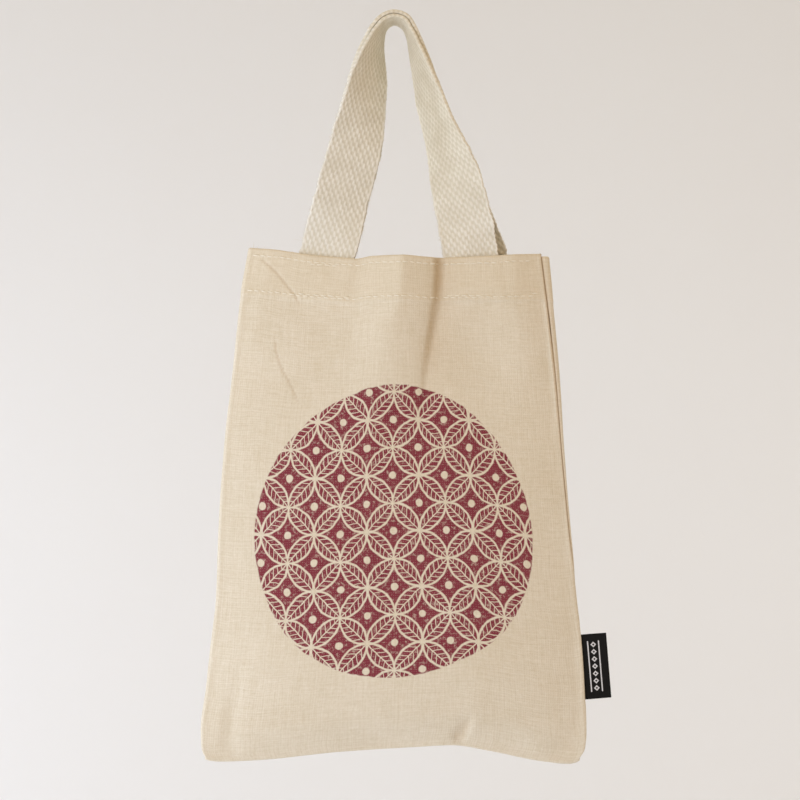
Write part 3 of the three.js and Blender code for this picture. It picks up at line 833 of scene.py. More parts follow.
def face_lift(place, far, side, seed):
    """Height from 0 to 1 of a face of the webbing: its uneven floats and a raised cord at each selvedge."""
    wander = WANDER_FAR * soft_noise(place, far, WANDER_FAR_CELL, seed + 2 + side)
    wander = wander + WANDER_NEAR * soft_noise(place, far, WANDER_NEAR_CELL, seed + 5)
    lift = float_height(place + WEBBING_WIDTH / 2 + wander, far + (side + 1) / 4 * FLOAT_REPEAT)
    uneven = soft_noise(place, far, FLOAT_EVEN_CELL, seed + 7)
    lift = lift * (FLOAT_EVEN + (1 - FLOAT_EVEN) * uneven)
    selvedge = np.abs(place) / (WEBBING_WIDTH / 2)
    return np.maximum(lift, CORD_HEIGHT * smoothstep(selvedge, *CORD_REACH))


def handle_frame(behind_share):
    """Rows along a handle: distance, middle, and the directions along it, across it and out of its face."""
    middles, runs, turns = handle_stations(behind_share)
    steps = np.linalg.norm(np.diff(middles, axis=0), axis=1)
    travelled = np.concatenate([[0.0], np.cumsum(steps)])
    rows = round(travelled[-1] / WEBBING_ROWS)
    along = np.linspace(0.0, travelled[-1], rows)
    middle = np.stack([np.interp(along, travelled, middles[:, k]) for k in range(3)], axis=1)
    run = np.stack([np.interp(along, travelled, runs[:, k]) for k in range(2)], axis=1)
    run = run / np.linalg.norm(run, axis=1)[:, None]
    turned = np.interp(along, travelled, turns)
    zero = np.zeros(rows)
    forward = np.stack([run[:, 0], zero, run[:, 1]], axis=1)
    inner = np.stack([run[:, 1], zero, -run[:, 0]], axis=1)
    width = inner * np.cos(turned)[:, None] + np.stack([zero, np.sin(turned), zero], axis=1)
    return along, middle, forward, width, np.cross(forward, width)


def webbing(name, behind_share):
    """A handle: a closed strip whose two faces carry the woven floats."""
    along, middle, _, width, normal = handle_frame(behind_share)
    rows = len(along)
    edge = WEBBING_WIDTH / 2
    nose = edge + SELVEDGE_NOSE
    places = np.concatenate([[-nose], np.linspace(-edge, edge, FLOAT_POINTS * FLOAT_COLUMNS + 1), [nose]])
    columns = len(places)
    place, far = np.meshgrid(places, along)
    seed = SEEDS["back_handle" if behind_share else "front_handle"]
    selvedge = np.abs(place) / edge
    on_nose = np.abs(place) > edge + SELVEDGE_NOSE / 2
    beads = np.sin(2 * math.pi * far / (FLOAT_REPEAT / 2))
    loops = SELVEDGE_BEADS * beads + SELVEDGE_STRAY * soft_noise(far, 0 * far, SELVEDGE_STRAY_CELL, seed)
    spread = place + np.sign(place) * loops * smoothstep(selvedge, *SELVEDGE_REACH)
    free = smoothstep(far, *FREE_REACH) * smoothstep(along[-1] - far, *FREE_REACH)
    sway = WEBBING_SWAY * soft_noise(place, far, SWAY_CELL, SEEDS["sway"]) * free
    faces = []
    lifts = []
    flats = []
    for side in (-1, 1):
        lift = face_lift(place, far, side, seed)
        thin = 1 - SELVEDGE_THIN * smoothstep(selvedge, SELVEDGE_THIN_FROM, 1.0)
        thick = (WEBBING_CORE + FLOAT_HEIGHT * lift) * thin
        out = side * np.where(on_nose, SELVEDGE_HALF, thick) + sway
        across = spread[:, :, None] * width[:, None, :]
        faces.append(middle[:, None, :] + across + out[:, :, None] * normal[:, None, :])
        # Painted shade from the lift: darker between floats and near the edges, and along the selvedge's
        # loops.
        shown = lift * (1 - SELVEDGE_DIM * smoothstep(selvedge, CORD_REACH[1], 1.0))
        lifts.append(np.where(on_nose, SELVEDGE_LIGHT[0] + SELVEDGE_LIGHT[1] * beads, shown))
        flats.append(np.stack([place + side * FACE_APART, far], axis=2))
    ring, lift, flat = [np.concatenate([face, other[:, ::-1]], axis=1)
                        for face, other in (faces, lifts, flats)]
    around = ring.shape[1]
    quads = [grid_faces(rows, around)]
    j = np.arange(rows - 1) * around
    quads.append(np.stack([j + around - 1, j, j + around, j + 2 * around - 1], axis=1))
    i = np.arange(columns - 1)
    mirrored = around - 1 - i
    cap = np.stack([i, mirrored, mirrored - 1, i + 1], axis=1)
    quads.append(cap)
    quads.append(cap[:, ::-1] + (rows - 1) * around)
    return mesh_object(name, ring, np.concatenate(quads), flat, {"lift": lift})


def strands(name, roots, leans, curls, lengths, width):
    """Thin tapering strands, three-sided, each from its root along a leaning and curling path."""
    points = []
    faces = []
    rings = 3
    for root, lean, curl, length in zip(roots, leans, curls, lengths):
        lean = lean / np.linalg.norm(lean)
        side = np.cross(lean, (0.31, 0.52, 0.80))
        side = side / np.linalg.norm(side)
        other = np.cross(lean, side)
        first = len(points)
        for i in range(rings):
            t = i / rings
            middle = root + length * (t * lean + t * t * curl)
            radius = width / 2 * (1 - 0.7 * t)
            for k in range(3):
                angle = 2 * math.pi * k / 3
                points.append(middle + radius * (math.cos(angle) * side + math.sin(angle) * other))
        points.append(root + length * (lean + curl))
        faces.append([first + 2, first + 1, first])
        last = first + 3 * rings - 3
        for k in range(3):
            after = (k + 1) % 3
            for ring in range(first, last, 3):
                faces.append([ring + k, ring + after, ring + 3 + after, ring + 3 + k])
            faces.append([last + k, last + after, last + 3])
    return mesh_object(name, points, faces)


def selvedge_fuzz(name, behind_share):
    """Loose fibres that stand out of both selvedges of a handle, above the hem."""
    along, middle, forward, width, normal = handle_frame(behind_share)
    chance = np.random.default_rng(SEEDS["back_fuzz" if behind_share else "front_fuzz"])
    inside = FOOT_LENGTH + 3.0
    reach = WEBBING_WIDTH / 2 - 0.1
    roots = []
    leans = []
    for edge in (-1, 1):
        for far in chance.uniform(inside, along[-1] - inside, FUZZ_COUNT):
            row = int(np.searchsorted(along, far))
            roots.append(middle[row] + edge * reach * width[row] + chance.uniform(-0.4, 0.4) * normal[row])
            sideways = chance.uniform(-1.0, 1.0) * forward[row] + chance.uniform(-0.7, 0.7) * normal[row]
            leans.append(edge * width[row] + sideways)
    curls = chance.uniform(-0.5, 0.5, (len(roots), 3))
    lengths = FUZZ_LENGTH + chance.gamma(*FUZZ_SPREAD, len(roots))
    return strands(name, roots, leans, curls, lengths, FUZZ_WIDTH)


def loose_threads():
    """A few frayed threads that stand out of the fold at the mouth's left corner."""
    chance = np.random.default_rng(SEEDS["loose_threads"])
    roots = []
    leans = []
    for thread in LOOSE_THREADS:
        place, _ = outer_place(True, thread["across"], 0.0)
        roots.append(place + np.array([0.0, FOLD_RADIUS, 0.7 * FOLD_RADIUS]))
        leans.append(np.array([thread["lean_x"], -0.2, thread["lean_z"]]))
    curls = chance.uniform(-0.45, 0.45, (len(roots), 3))
    lengths = [thread["length"] for thread in LOOSE_THREADS]
    return strands("mouth_loose_threads", roots, leans, curls, lengths, LOOSE_WIDTH)


def stitch_shape():
    """One stitch, lying along X: a plump thread whose ends dip into the cloth."""
    bpy.ops.object.select_all(action="DESELECT")
    bpy.ops.mesh.primitive_uv_sphere_add(segments=10, ring_count=6, radius=0.5)
    pattern = bpy.context.active_object
    points = np.array([vertex.co[:] for vertex in pattern.data.vertices])
    points = points[:, [2, 0, 1]]
    faces = sorted(list(polygon.vertices) for polygon in pattern.data.polygons)
    bpy.data.meshes.remove(pattern.data)
    points = points * np.array([STITCH_LENGTH, THREAD_WIDTH, THREAD_WIDTH * THREAD_FLAT])
    points[:, 2] -= STITCH_DIP * (2 * points[:, 0] / STITCH_LENGTH) ** 4
    return points, faces


def sew(name, places, directions, normals):
    """Stitches at places on the cloth, each lying along its direction, a little askew."""
    pattern, faces = stitch_shape()
    points = []
    indices = []
    wobble = np.random.default_rng(SEEDS["stitches"])
    for number, (place, direction, normal) in enumerate(zip(places, directions, normals)):
        normal = normal / np.linalg.norm(normal)
        direction = direction - normal * np.dot(direction, normal)
        direction = direction / np.linalg.norm(direction)
        across = np.cross(normal, direction)
        along = direction + wobble.uniform(-0.10, 0.10) * across
        stretch = wobble.uniform(0.92, 1.06)
        local = pattern[:, :1] * stretch * along + pattern[:, 1:2] * across + pattern[:, 2:] * normal
        points.append(place + wobble.uniform(-0.12, 0.12) * across + local)
        indices += [[corner + number * len(pattern) for corner in face] for face in faces]
    return mesh_object(name, points, indices)


def outer_place(front, across, below):
    """A point on the outside of a panel, below its folded edge, and the outward direction there."""
    down = np.array(below / HEIGHT)
    x, y, out_x, out_y = on_panel(np.array(across), -1 if front else 1, down)
    z = height_on_panel(front, x, down, -FOLD_RADIUS)
    relief = panel_relief(front, (np.array(across) - 0.5) * CLOTH_WIDTH, x, z, down)
    place = np.array([float(x + relief * out_x), float(y + relief * out_y), float(z)])
    return place, np.array([float(out_x), float(out_y), 0.0])


def hem_stitches(name, front):
    """The two rows of stitches that hold a hem, and on the front the runs sewn back and forth."""
    first, last = FRONT_SEWN if front else BACK_SEWN
    count = round((last - first) * MOUTH_SHARE * CLOTH_WIDTH / STITCH_PITCH)
    runs = [(first, last, below, count) for below in STITCH_ROWS]
    start = left(0.0) + half(0.0)
    width = right(0.0) - half(0.0) - start
    for tack in BACK_TACKS if front else ():
        count = round((tack["end"] - tack["start"]) / STITCH_PITCH)
        runs.append(((tack["start"] - start) / width, (tack["end"] - start) / width, tack["below"], count))
    places = []
    directions = []
    normals = []
    for first, last, below, count in runs:
        for i in range(count):
            across = mix(first, last, (i + 0.5) / count)
            place, normal = outer_place(front, across, below)
            ahead, _ = outer_place(front, across + 0.004, below)
            places.append(place + STITCH_PROUD * normal)
            directions.append(ahead - place)
            normals.append(normal)
    return sew(name, places, directions, normals)


def foot_stitches(name, behind_share):
    """The same seams where they come out on the inside, across a handle's two ends."""
    middles, runs, _ = handle_stations(behind_share)
    normal = np.array([0.0, -1 if behind_share else 1, 0.0])
    span = WEBBING_WIDTH - 2
    count = round(span / STITCH_PITCH)
    places = []
    for end, sign in ((0, 1), (-1, -1)):
        run = np.array([runs[end][0], 0.0, runs[end][1]]) * sign
        across = np.array([run[2], 0.0, -run[0]])
        for below in STITCH_ROWS:
            foot = middles[end] + run * (FOOT_LENGTH - below + 1.0)
            for i in range(count):
                reach = ((i + 0.5) / count - 0.5) * span
                places.append(foot + across * reach + normal * (WEBBING_CORE + FLOAT_HEIGHT))
    return sew(name, places, [np.array([1.0, 0.0, 0.0])] * len(places), [normal] * len(places))


def side_label():
    """The tab: one strip folded in two at its outer end, both ends in the seam."""
    middle = LABEL_PLY / 2 + 0.06
    reach = LABEL_REACH - middle
    straight = 26
    bend = 12
    rows = 40
    path = []
    for i in range(straight):
        path.append((mix(-LABEL_INSIDE, reach, i / straight), -middle))
    for i in range(bend + 1):
        angle = -math.pi / 2 + math.pi * i / bend
        path.append((reach + middle * math.cos(angle), middle * math.sin(angle)))
    for i in range(1, straight + 1):
        path.append((mix(reach, -LABEL_INSIDE, i / straight), middle))
    path = np.array(path)
    travelled = np.concatenate([[0.0], np.cumsum(np.linalg.norm(np.diff(path, axis=0), axis=1))])
    up = np.linspace(-LABEL_HEIGHT / 2, LABEL_HEIGHT / 2, rows)
    out, rise = np.meshgrid(path[:, 0], up)
    deep = np.broadcast_to(path[:, 1], out.shape)
    bow = -LABEL_BOW * np.clip(out / LABEL_REACH, 0.0, 1.2) ** 2 * (0.6 + 0.4 * np.sin(rise / 9.0))
    parted = 1 + LABEL_PARTED * np.clip(out / reach, 0.0, 1.0) * np.clip(1 - out / reach, 0.0, 1.0)
    down = (LABEL_Z - MOUTH_Z) / (BOTTOM_Z - MOUTH_Z)
    x = out * math.cos(LABEL_TILT) - rise * math.sin(LABEL_TILT) + right(down)
    z = out * math.sin(LABEL_TILT) + rise * math.cos(LABEL_TILT) + LABEL_Z
    y = deep * parted + bow + MID_PLANE
    points = np.stack([x, y, z], axis=2)
    flat = np.stack([np.broadcast_to(travelled, out.shape), rise], axis=2)
    piece = mesh_object("side_label_tape", points, grid_faces(rows, len(path), True), flat)
    apply_modifier(piece, "SOLIDIFY", thickness=LABEL_PLY * MM, offset=0.0)
    return piece


# What the surfaces of all the cotton have in common.
COTTON = {"Roughness": 0.92, "IOR": 1.5, "Specular IOR Level": 0.25, "Sheen Roughness": 0.5}


def linear(colour):
    """Linear colour with alpha from an sRGB hex value."""
    parts = [int(colour[i:i + 2], 16) / 255 for i in (1, 3, 5)]
    return [c / 12.92 if c <= 0.04045 else ((c + 0.055) / 1.055) ** 2.4 for c in parts] + [1.0]


def fill(tree, node, inputs):
    """Links a node's inputs to other sockets, or sets them to values, where "#rrggbb" is an sRGB colour."""
    named = inputs.items() if isinstance(inputs, dict) else enumerate(inputs)
    for name, value in named:
        if isinstance(value, bpy.types.NodeSocket):
            tree.links.new(value, node.inputs[name])
        elif isinstance(value, str):
            node.inputs[name].default_value = linear(value)
        else:
            node.inputs[name].default_value = value


def add(tree, kind, inputs=(), output=0, **settings):
    """Adds a node with its settings and inputs, and gives one of its outputs.

    A Mix node of colours takes its share at input 0 and the colours at 6 and 7, and its output is 2.
    """
    made = tree.nodes.new("ShaderNode" + kind)
    for name, value in settings.items():
        setattr(made, name, value)
    fill(tree, made, inputs)
    return made.outputs[output]


def new_material(name):
    """A new material, its node tree and its shader."""
    made = bpy.data.materials.new(name)
    made.use_nodes = True
    tree = made.node_tree
    shader = next(n for n in tree.nodes if n.type == "BSDF_PRINCIPLED")
    return made, tree, shader


def flat_cloth(tree):
    """The place on a piece's flat cloth in millimetres."""
    uv = add(tree, "UVMap", uv_map="flat_cloth")
    return add(tree, "VectorMath", [uv, (PATTERN, PATTERN, 0.0), FLAT_MIDDLE], operation="MULTIPLY_ADD")


def print_cover(tree, cloth):
    """Where the block print lays ink: a round field of interlaced circles, as on old printing blocks."""
    radius = 12.6                # of the circles
    middle = (-0.8, 124.0, 0.0)  # of the print on the flat cloth
    bend = 4.545                 # length of the small bends in the carved lines
    sway = (1.3, 1.3, 0.0)       # and how far they bend
    barbs = 1.9                  # half the distance between a petal's side veins
    # Distances at which the ink begins and is full: in a petal and a star from the circles' line, round
    # the bare dot of a star, beside a petal's middle vein and side veins, and at the rim of the print.
    petal_edge = (-0.20, -0.55)
    star_edge = (0.40, 0.75)
    dot_edge = (1.5, 1.9)
    vein_edge = (0.22, 0.50)
    barb_edge = (0.15, 0.45)
    rim = (66.6, 66.1)
    centred = add(tree, "VectorMath", [cloth, middle], operation="SUBTRACT")
    wobble = add(tree, "TexNoise", {"Vector": cloth, "Scale": 1 / bend, "Detail": 3.0}, "Color")
    shift = add(tree, "VectorMath", [wobble, (0.5, 0.5, 0.5)], operation="SUBTRACT")
    drawn = add(tree, "VectorMath", [shift, sway, centred], operation="MULTIPLY_ADD")
    split = add(tree, "SeparateXYZ", [drawn]).node
    fold_x = add(tree, "Math", [split.outputs["X"], radius], operation="PINGPONG")
    fold_y = add(tree, "Math", [split.outputs["Y"], radius], operation="PINGPONG")
    cell = add(tree, "CombineXYZ", [fold_x, fold_y])
    near = add(tree, "VectorMath", [cell], "Value", operation="LENGTH")
    far = add(tree, "VectorMath", [cell, (radius, radius, 0.0)], "Value", operation="DISTANCE")
    outer = add(tree, "Math", [near, far], operation="MAXIMUM")
    inner = add(tree, "Math", [near, far], operation="MINIMUM")
    ring = add(tree, "Math", [outer, radius], operation="SUBTRACT")
    across = add(tree, "Math", [fold_x, fold_y], operation="SUBTRACT")
    offset = add(tree, "Math", [fold_x, fold_y], operation="ADD")
    spine = add(tree, "Math", [offset, radius], operation="SUBTRACT")
    spine_far = add(tree, "Math", [spine], operation="ABSOLUTE")
    slant = add(tree, "Math", [spine_far, 0.8, across], operation="MULTIPLY_ADD")
    hatch = add(tree, "Math", [slant, barbs], operation="PINGPONG")
    reach = add(tree, "VectorMath", [drawn], "Value", operation="LENGTH")
    petal, star, dot, vein, barb, field = [
        add(tree, "MapRange", {"Value": distance, "From Min": edge[0], "From Max": edge[1]})
        for distance, edge in ((ring, petal_edge), (ring, star_edge), (inner, dot_edge),
                               (spine_far, vein_edge), (hatch, barb_edge), (reach, rim))
    ]
    veined = add(tree, "Math", [vein, barb], operation="MULTIPLY")
    leaf = add(tree, "Math", [petal, veined], operation="MULTIPLY")
    dotted = add(tree, "Math", [star, dot], operation="MULTIPLY")
    motif = add(tree, "Math", [leaf, dotted], operation="MAXIMUM")
    return add(tree, "Math", [motif, field], operation="MULTIPLY")


def block_print(tree, cloth, weave, colour):
    """Burgundy ink on the calico's colour: patchy, mottled, and thin where the weave lies deep."""
    patch_size = 1.818           # of the spots where the ink is thin
    mottle_size = 8.333          # of its paler and darker places
    patch = add(tree, "TexNoise", {"Vector": cloth, "Scale": 1 / patch_size, "Detail": 6.0, "Roughness": 0.7})
    dense = add(tree, "MapRange", {"Value": patch, "From Min": 0.30, "From Max": 0.47, "To Min": 0.25})
    dry = add(tree, "MapRange", {"Value": weave, "From Min": 0.02, "From Max": 0.35, "To Min": 0.55})
    laid = add(tree, "Math", [dense, dry], operation="MULTIPLY")
    inked = add(tree, "Math", [print_cover(tree, cloth), laid], operation="MULTIPLY")
    mottle = add(tree, "TexNoise", {"Vector": cloth, "Scale": 1 / mottle_size, "Detail": 3.0})
    ink = add(tree, "Mix", {0: mottle, 6: "#7b2c3a", 7: "#8b3c48"}, 2, data_type="RGBA")
    return add(tree, "Mix", {0: inked, 6: colour, 7: ink}, 2, data_type="RGBA")


def calico_material(name, printed):
    """Natural cotton calico, plain-woven and unbleached: matt and creamy, with uneven threads and specks."""
    pitch = 1.05                 # of the drawn threads; the real ones lie 0.45 mm apart, too fine to show
    bend = 14.29                 # length over which the threads wander
    wander = (2.4, 2.4, 0.0)     # and how far
    slub_width = 0.8696          # of the thick places in the threads, and their length in warp and weft
    slub_lengths = (14.29, 11.76)
    cloud_size = 28.57           # of the paler and darker stretches of cloth
    grain_size = 1.3333          # of the fibres' unevenness
    worn_size = 18.18            # of the places where the gaps between the threads show
    husk_spacing = 20.83         # of the specks of seed husk
    husk_edge = (0.375, 0.2083)  # from a speck's middle to where it begins and is full
    made, tree, shader = new_material(name)
    cloth = flat_cloth(tree)
    bent = add(tree, "TexNoise", {"Vector": cloth, "Scale": 1 / bend, "Detail": 2.0}, "Color")
    threads = add(tree, "VectorMath", [bent, wander, cloth], operation="MULTIPLY_ADD")
    split = add(tree, "SeparateXYZ", [threads]).node
    waves = []
    crowns = []
    for axis in "XY":
        turned = add(tree, "Math", [split.outputs[axis], math.pi / pitch], operation="MULTIPLY")
        waves.append(add(tree, "Math", [turned], operation="SINE"))
        crowns.append(add(tree, "Math", [waves[-1]], operation="ABSOLUTE"))
    over = add(tree, "Math", waves, operation="MULTIPLY")
    top = add(tree, "MapRange", {"Value": over, "From Min": -1.0, "From Max": 1.0})
    weave = add(tree, "Mix", {0: top, 2: crowns[1], 3: crowns[0]})
    slubs = []
    for stretch in ((1 / slub_width, 1 / slub_lengths[0], 1.0), (1 / slub_lengths[1], 1 / slub_width, 1.0)):
        place = add(tree, "VectorMath", [threads, stretch], operation="MULTIPLY")
        slubs.append(add(tree, "TexNoise", {"Vector": place, "Scale": 1.0, "Detail": 2.0}))
    slub = add(tree, "Math", slubs, operation="ADD")
    cloud = add(tree, "TexNoise", {"Vector": cloth, "Scale": 1 / cloud_size, "Detail": 3.0})
    grain = add(tree, "TexNoise", {"Vector": cloth, "Scale": 1 / grain_size, "Detail": 3.0, "Roughness": 0.7})
    clouded = add(tree, "Math", [cloud, 0.6, slub], operation="MULTIPLY_ADD")
    uneven = add(tree, "Math", [grain, 1.3, clouded], operation="MULTIPLY_ADD")
    tone = add(tree, "MapRange", {"Value": uneven, "From Min": 1.30, "From Max": 2.60})
    colour = add(tree, "Mix", {0: tone, 6: "#d7cbb2", 7: "#eee6d6"}, 2, data_type="RGBA")
    below = add(tree, "SeparateXYZ", [cloth], "Y")
    from_fold = add(tree, "Math", [below], operation="ABSOLUTE")
    doubled = add(tree, "MapRange", {"Value": from_fold, "From Min": HEM_DEPTH, "From Max": HEM_DEPTH - 0.6,
                                     "To Max": 0.15})
    worn = add(tree, "TexNoise", {"Vector": cloth, "Scale": 1 / worn_size, "Detail": 2.0})
    clear = add(tree, "MapRange", {"Value": worn, "From Min": 0.38, "From Max": 0.66,
                                   "To Min": 0.05, "To Max": 0.27})
    open_weave = add(tree, "MapRange", {"Value": weave, "From Min": 0.75, "From Max": 0.05})
    gaps = add(tree, "Math", [open_weave, clear], operation="MULTIPLY")
    # The panel's attribute says how much brown shade is painted into its seams and creases.
    painted_shade = add(tree, "Attribute", (), "Fac", attribute_name="painted_shade")
    seam_crease_shade = add(tree, "Math", [painted_shade, 0.75], operation="MULTIPLY")
    stretched = add(tree, "VectorMath", [cloth, (1.0, 0.6, 1.0)], operation="MULTIPLY")
    husk = add(tree, "TexVoronoi", {"Vector": stretched, "Scale": 1 / husk_spacing}).node
    speck = add(tree, "MapRange", {"Value": husk.outputs["Distance"], "From Min": husk_edge[0] / husk_spacing,
                                   "From Max": husk_edge[1] / husk_spacing})
    chance = add(tree, "Math", [husk.outputs["Color"], 0.55], operation="GREATER_THAN")
    specks = add(tree, "Math", [speck, chance], operation="MULTIPLY")
    faint = add(tree, "Math", [specks, 0.75], operation="MULTIPLY")
    # In turn: the hem's second layer, gaps between threads, painted shade in seams and creases, and specks.
    for share, stain_and_shade in ((doubled, "#e0d0b0"), (gaps, "#cdb799"), (seam_crease_shade, "#b7956a"), (faint, "#6f5738")):
        colour = add(tree, "Mix", {0: share, 6: colour, 7: stain_and_shade}, 2, data_type="RGBA")
    if printed:
        colour = block_print(tree, cloth, weave, colour)
    height = add(tree, "Math", [slub, 0.8, weave], operation="MULTIPLY_ADD")
    bump = add(tree, "Bump", {"Strength": 0.35, "Distance": 0.22 * MM, "Height": height})
    fill(tree, shader, {"Base Color": colour, "Normal": bump, "Sheen Weight": 0.12, **COTTON})
    return made


def webbing_material():
    """Undyed cotton webbing, woven of thick soft yarn: paler than the calico, with painted shade between the
    floats.

    Over the top of the loop and the upper right leg, a little painted warm light tints its colour.
    """
    fibre_width = 0.3125         # of the yarn's fibres, drawn coarse, and their length
    fibre_length = 1.818
    blotch_size = 10.0
    made, tree, shader = new_material("cotton_webbing_woven")
    cloth = flat_cloth(tree)
    stretch = (1 / fibre_width, 1 / fibre_length, 1.0)
    fibre_place = add(tree, "VectorMath", [cloth, stretch], operation="MULTIPLY")
    fibre = add(tree, "TexNoise", {"Vector": fibre_place, "Scale": 1.0, "Detail": 4.0, "Roughness": 0.65})
    blotch = add(tree, "TexNoise", {"Vector": cloth, "Scale": 1 / blotch_size, "Detail": 3.0})
    yarn = add(tree, "Math", [fibre, blotch], operation="ADD")
    tone = add(tree, "MapRange", {"Value": yarn, "From Min": 0.65, "From Max": 1.35})
    crown = add(tree, "Mix", {0: tone, 6: "#e2ddd1", 7: "#fbfaf4"}, 2, data_type="RGBA")
    lift = add(tree, "Attribute", (), "Fac", attribute_name="lift")
    # Painted shade: where the floats lie low the colour turns toward a darker grey-cream.
    deep = add(tree, "MapRange", {"Value": lift, "From Min": 0.70, "From Max": 0.05, "To Max": 0.50})
    woven = add(tree, "Mix", {0: deep, 6: crown, 7: "#cbc5af"}, 2, data_type="RGBA")
    # Painted warm light: the colour is tinted warm around the top of the loop.
    along = add(tree, "SeparateXYZ", [cloth], "Y")
    from_middle = add(tree, "Math", [along, PAINTED_WARMTH_MIDDLE], operation="SUBTRACT")
    away = add(tree, "Math", [from_middle], operation="ABSOLUTE")
    painted_warmth = add(tree, "MapRange", {"Value": away, "From Min": PAINTED_WARMTH_REACH[0], "From Max": PAINTED_WARMTH_REACH[1]})
    colour = add(tree, "Mix", {0: painted_warmth, 6: woven, 7: "#faf6ed"}, 2, data_type="RGBA", blend_type="MULTIPLY")
    bump = add(tree, "Bump", {"Strength": 0.4, "Distance": 0.2 * MM, "Height": fibre})
    fill(tree, shader, {"Base Color": colour, "Normal": bump, "Sheen Weight": 0.15, **COTTON})
    return made


def thread_material():
    """Cotton sewing thread, spun and twisted: a little lighter and smoother than the cloth it holds."""
    twist_size = 0.41667
    made, tree, shader = new_material("cotton_thread_spun")
    place = add(tree, "TexCoord", (), "Object")
    twist = add(tree, "TexNoise", {"Vector": place, "Scale": 1 / (twist_size * MM), "Detail": 2.0})
    colour = add(tree, "Mix", {0: twist, 6: "#e5dcc8", 7: "#f1eada"}, 2, data_type="RGBA")
    bump = add(tree, "Bump", {"Strength": 0.3, "Distance": 0.1 * MM, "Height": twist})
    fill(tree, shader, {"Base Color": colour, "Normal": bump, "Roughness": 0.75, "IOR": 1.5,
                        "Sheen Weight": 0.1})
    return made


def tape_material():
    """Black polyester label tape, satin-woven: fine ribs, a dull shine and a woven chain of diamonds."""
    rib = 0.3                    # half the distance between ribs, and between picks
    pick = 0.45
    fuzz_size = 0.4545
    chain_middle = LABEL_INSIDE + 0.45 * LABEL_REACH
    chain_end = (11.3, 11.1)     # half its length, and the edges of a diamond and of the two lines
    diamond_step = 1.6
    diamond_rim = (1.35, 1.15)
    diamond_hole = (0.45, 0.65)
    line_far = 2.4
    line_edge = (0.32, 0.20)
    made, tree, shader = new_material("black_label_tape_woven")
    cloth = flat_cloth(tree)
    split = add(tree, "SeparateXYZ", [cloth]).node
    ribs = add(tree, "Math", [split.outputs["Y"], rib], operation="PINGPONG")
    picks = add(tree, "Math", [split.outputs["X"], pick], operation="PINGPONG")
    woven = add(tree, "Math", [ribs, picks], operation="ADD")
    fuzz = add(tree, "TexNoise", {"Vector": cloth, "Scale": 1 / fuzz_size, "Detail": 4.0})
    height = add(tree, "Math", [fuzz, 0.3, woven], operation="MULTIPLY_ADD")
    tone = add(tree, "MapRange", {"Value": height, "From Min": 0.2, "From Max": 0.9})
    black = add(tree, "Mix", {0: tone, 6: "#060505", 7: "#100e0d"}, 2, data_type="RGBA")
    centred = add(tree, "Math", [split.outputs["X"], chain_middle], operation="SUBTRACT")
    beside = add(tree, "Math", [centred], operation="ABSOLUTE")
    step = add(tree, "Math", [split.outputs["Y"], diamond_step], operation="PINGPONG")
    diamond = add(tree, "Math", [beside, step], operation="ADD")
    from_line = add(tree, "Math", [beside, line_far], operation="SUBTRACT")
    line_away = add(tree, "Math", [from_line], operation="ABSOLUTE")
    along = add(tree, "Math", [split.outputs["Y"]], operation="ABSOLUTE")
    filled, hollow, lines, within = [
        add(tree, "MapRange", {"Value": distance, "From Min": edge[0], "From Max": edge[1]})
        for distance, edge in ((diamond, diamond_rim), (diamond, diamond_hole), (line_away, line_edge),
                               (along, chain_end))
    ]
    chain = add(tree, "Math", [filled, hollow], operation="MULTIPLY")
    motif = add(tree, "Math", [chain, lines], operation="MAXIMUM")
    drawn = add(tree, "Math", [motif, within], operation="MULTIPLY")
    patchy = add(tree, "MapRange", {"Value": fuzz, "From Min": 0.25, "From Max": 0.55,
                                    "To Min": 0.6, "To Max": 0.95})
    laid = add(tree, "Math", [drawn, patchy], operation="MULTIPLY")
    colour = add(tree, "Mix", {0: laid, 6: black, 7: "#e6e6ea"}, 2, data_type="RGBA")
    bump = add(tree, "Bump", {"Strength": 0.4, "Distance": 0.2 * MM, "Height": height})
    fill(tree, shader, {"Base Color": colour, "Normal": bump, "Roughness": 0.7, "IOR": 1.53,
                        "Specular IOR Level": 0.2})
    return made


def dress(piece, material, slot, *nodes):
    """Gives a piece its material, rides it on the bag and lets it stand for its solids. The slot is not used.
    """
    piece.data.materials.clear()
    piece.data.materials.append(material)
    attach(piece, "root")
    if nodes:
        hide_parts(*nodes)


def studio_sweep():
    """A pale floor well below the bag that curves up into a pale backdrop far behind it."""
    near = 0.1
    bpy.ops.object.select_all(action="DESELECT")
    bpy.ops.mesh.primitive_plane_add(size=2.0, location=(0.0, 0.0, 0.0))
    sweep = bpy.context.active_object
    sweep.name = "studio_sweep"
    bpy.ops.object.mode_set(mode="EDIT")
    bpy.ops.mesh.select_all(action="SELECT")
    bpy.ops.transform.resize(value=(*FLOOR_HALF, 1.0))
    bpy.ops.transform.translate(value=FLOOR_MIDDLE)
    bpy.ops.mesh.select_mode(type="EDGE")

    def select_back_edges():
        """Selects the edges that lie at the floor's back."""
        bpy.ops.mesh.select_all(action="DESELECT")
        bpy.ops.object.mode_set(mode="OBJECT")
        for edge in sweep.data.edges:
            ends = [sweep.data.vertices[i].co for i in edge.vertices]
            edge.select = all(end.y > BACKDROP_Y - near and end.z < FLOOR_MIDDLE[2] + near for end in ends)
        bpy.ops.object.mode_set(mode="EDIT")

    select_back_edges()
    bpy.ops.mesh.extrude_region_move(TRANSFORM_OT_translate={"value": (0.0, 0.0, BACKDROP_HEIGHT)})
    select_back_edges()
    bpy.ops.mesh.bevel(offset=BACKDROP_BEND, segments=16, affect="EDGES")
    bpy.ops.mesh.select_all(action="SELECT")
    bpy.ops.mesh.faces_shade_smooth()
    bpy.ops.object.mode_set(mode="OBJECT")
    sweep.data.materials.append(backdrop_material())


